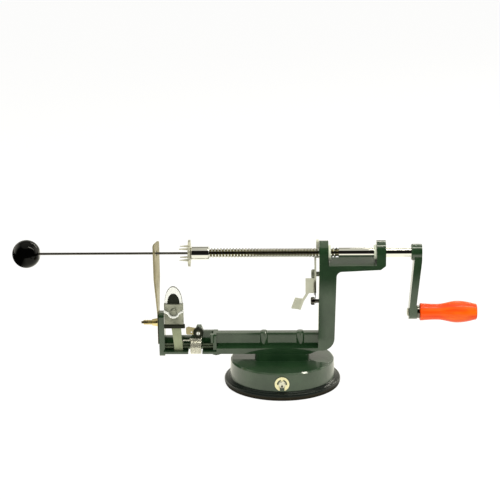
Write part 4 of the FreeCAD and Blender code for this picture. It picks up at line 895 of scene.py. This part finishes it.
def softbox(name, place, target, size, power):
    """A flat warm white lamp at place that faces target."""
    light = bpy.data.lights.new(name, "AREA")
    light.shape = "RECTANGLE"
    light.size, light.size_y = size
    light.energy = power
    light.color = WARM_WHITE
    obj = bpy.data.objects.new(name, light)
    bpy.context.scene.collection.objects.link(obj)
    obj.location = place
    obj.rotation_euler = (Vector(target) - Vector(place)).to_track_quat("-Z", "Y").to_euler()
    return obj


def tube(name, start, end, target, width, power):
    """A long lamp from start to end that faces target."""
    start, end, target = Vector(start), Vector(end), Vector(target)
    middle = (start + end) / 2
    lamp = softbox(name, middle, target, ((end - start).length, width), power)
    along = (end - start).normalized()
    facing_out = (middle - target).normalized()
    facing_out = (facing_out - along * facing_out.dot(along)).normalized()
    lamp.rotation_euler = Matrix((along, facing_out.cross(along), facing_out)).transposed().to_euler()
    return lamp


for name, start, end, width, power in TUBES:
    tube(name, start, end, TUBE_TARGET, width, power)
for name, place, size, power in SOFT_BOXES:
    softbox(name, place, BOX_TARGET, size, power).visible_glossy = False


# ---------------------------------------------------------------- room
# The part sees a white dome above, pale walls beside and behind it, and a dark room in front. Each pair
# or row of numbers is a place along one axis of the direction, from -1 to 1.
SIDE_WALLS = 1.9
BACK_WALL = 0.70
BACK_ABOVE = 0.28
DOME = 0.62
FRONT_STEPS = (0.82, 0.89)
BACK_STEPS = (0.0, 0.38, 0.50, 0.82, 0.88)
FRONT_TO_BACK = (-0.25, 0.15)
SIDE_SPAN = (0.55, 0.85)
SIDE_BEHIND = (-0.10, 0.25)

world = bpy.data.worlds.new("studio_room")
bpy.context.scene.world = world
world.use_nodes = True
world.node_tree.nodes.clear()
room = Nodes(world.node_tree)
facing = room.node("ShaderNodeTexCoord", output="Generated")
aside, behind, height = (room.part(facing, i) for i in (0, 1, 2))
front = room.ramp(height, *zip(FRONT_STEPS, (dark, shade(DOME))))
wall, above = shade(BACK_WALL), shade(BACK_ABOVE)
back = room.ramp(height, *zip(BACK_STEPS, (wall, wall, above, above, shade(DOME))))
glow = room.mix(front, back, room.span(behind, *FRONT_TO_BACK))
sides = room.span(abs(aside), *SIDE_SPAN) * room.span(behind, *SIDE_BEHIND)
glow = room.mix(glow, shade(SIDE_WALLS), sides)
tone = room.mix(glow, (1, 1, 1), room.node("ShaderNodeLightPath", output="Is Camera Ray"))
background = room.node("ShaderNodeBackground", None, {"Color": tone})
surface = room.tree.nodes.new("ShaderNodeOutputWorld")
room.tree.links.new(background.socket, surface.inputs["Surface"])


# ---------------------------------------------------------------- camera
# A long lens looks at the part from the front and somewhat from above, with its horizon almost level.
# Angles are in degrees, and the lens and its sensor are in millimetres.
CAMERA_PLACE = (0.0084, -1.3506, 0.4972)
CAMERA_TURN = 1.6851
CAMERA_DIP = 14.8877
CAMERA_ROLL = -0.7189
CAMERA_LENS = 101.2
SENSOR = 36.0

turn, dip, roll = (math.radians(a) for a in (CAMERA_TURN, CAMERA_DIP, CAMERA_ROLL))
forward = Vector((-math.sin(turn) * math.cos(dip), math.cos(turn) * math.cos(dip), -math.sin(dip)))
right = forward.cross(Vector(UP)).normalized()
up = right.cross(forward)
tilted_right = right * math.cos(roll) + up * math.sin(roll)
tilted_up = up * math.cos(roll) - right * math.sin(roll)
camera_axes = Matrix((tilted_right, tilted_up, -forward)).transposed().to_4x4()
camera_data = bpy.data.cameras.new("studio_camera")
camera_data.lens = CAMERA_LENS
camera_data.sensor_width = SENSOR
camera = bpy.data.objects.new("studio_camera", camera_data)
bpy.context.scene.collection.objects.link(camera)
camera.matrix_world = Matrix.Translation(CAMERA_PLACE) @ camera_axes
bpy.context.scene.camera = camera
bpy.context.scene.view_settings.view_transform = "Standard"
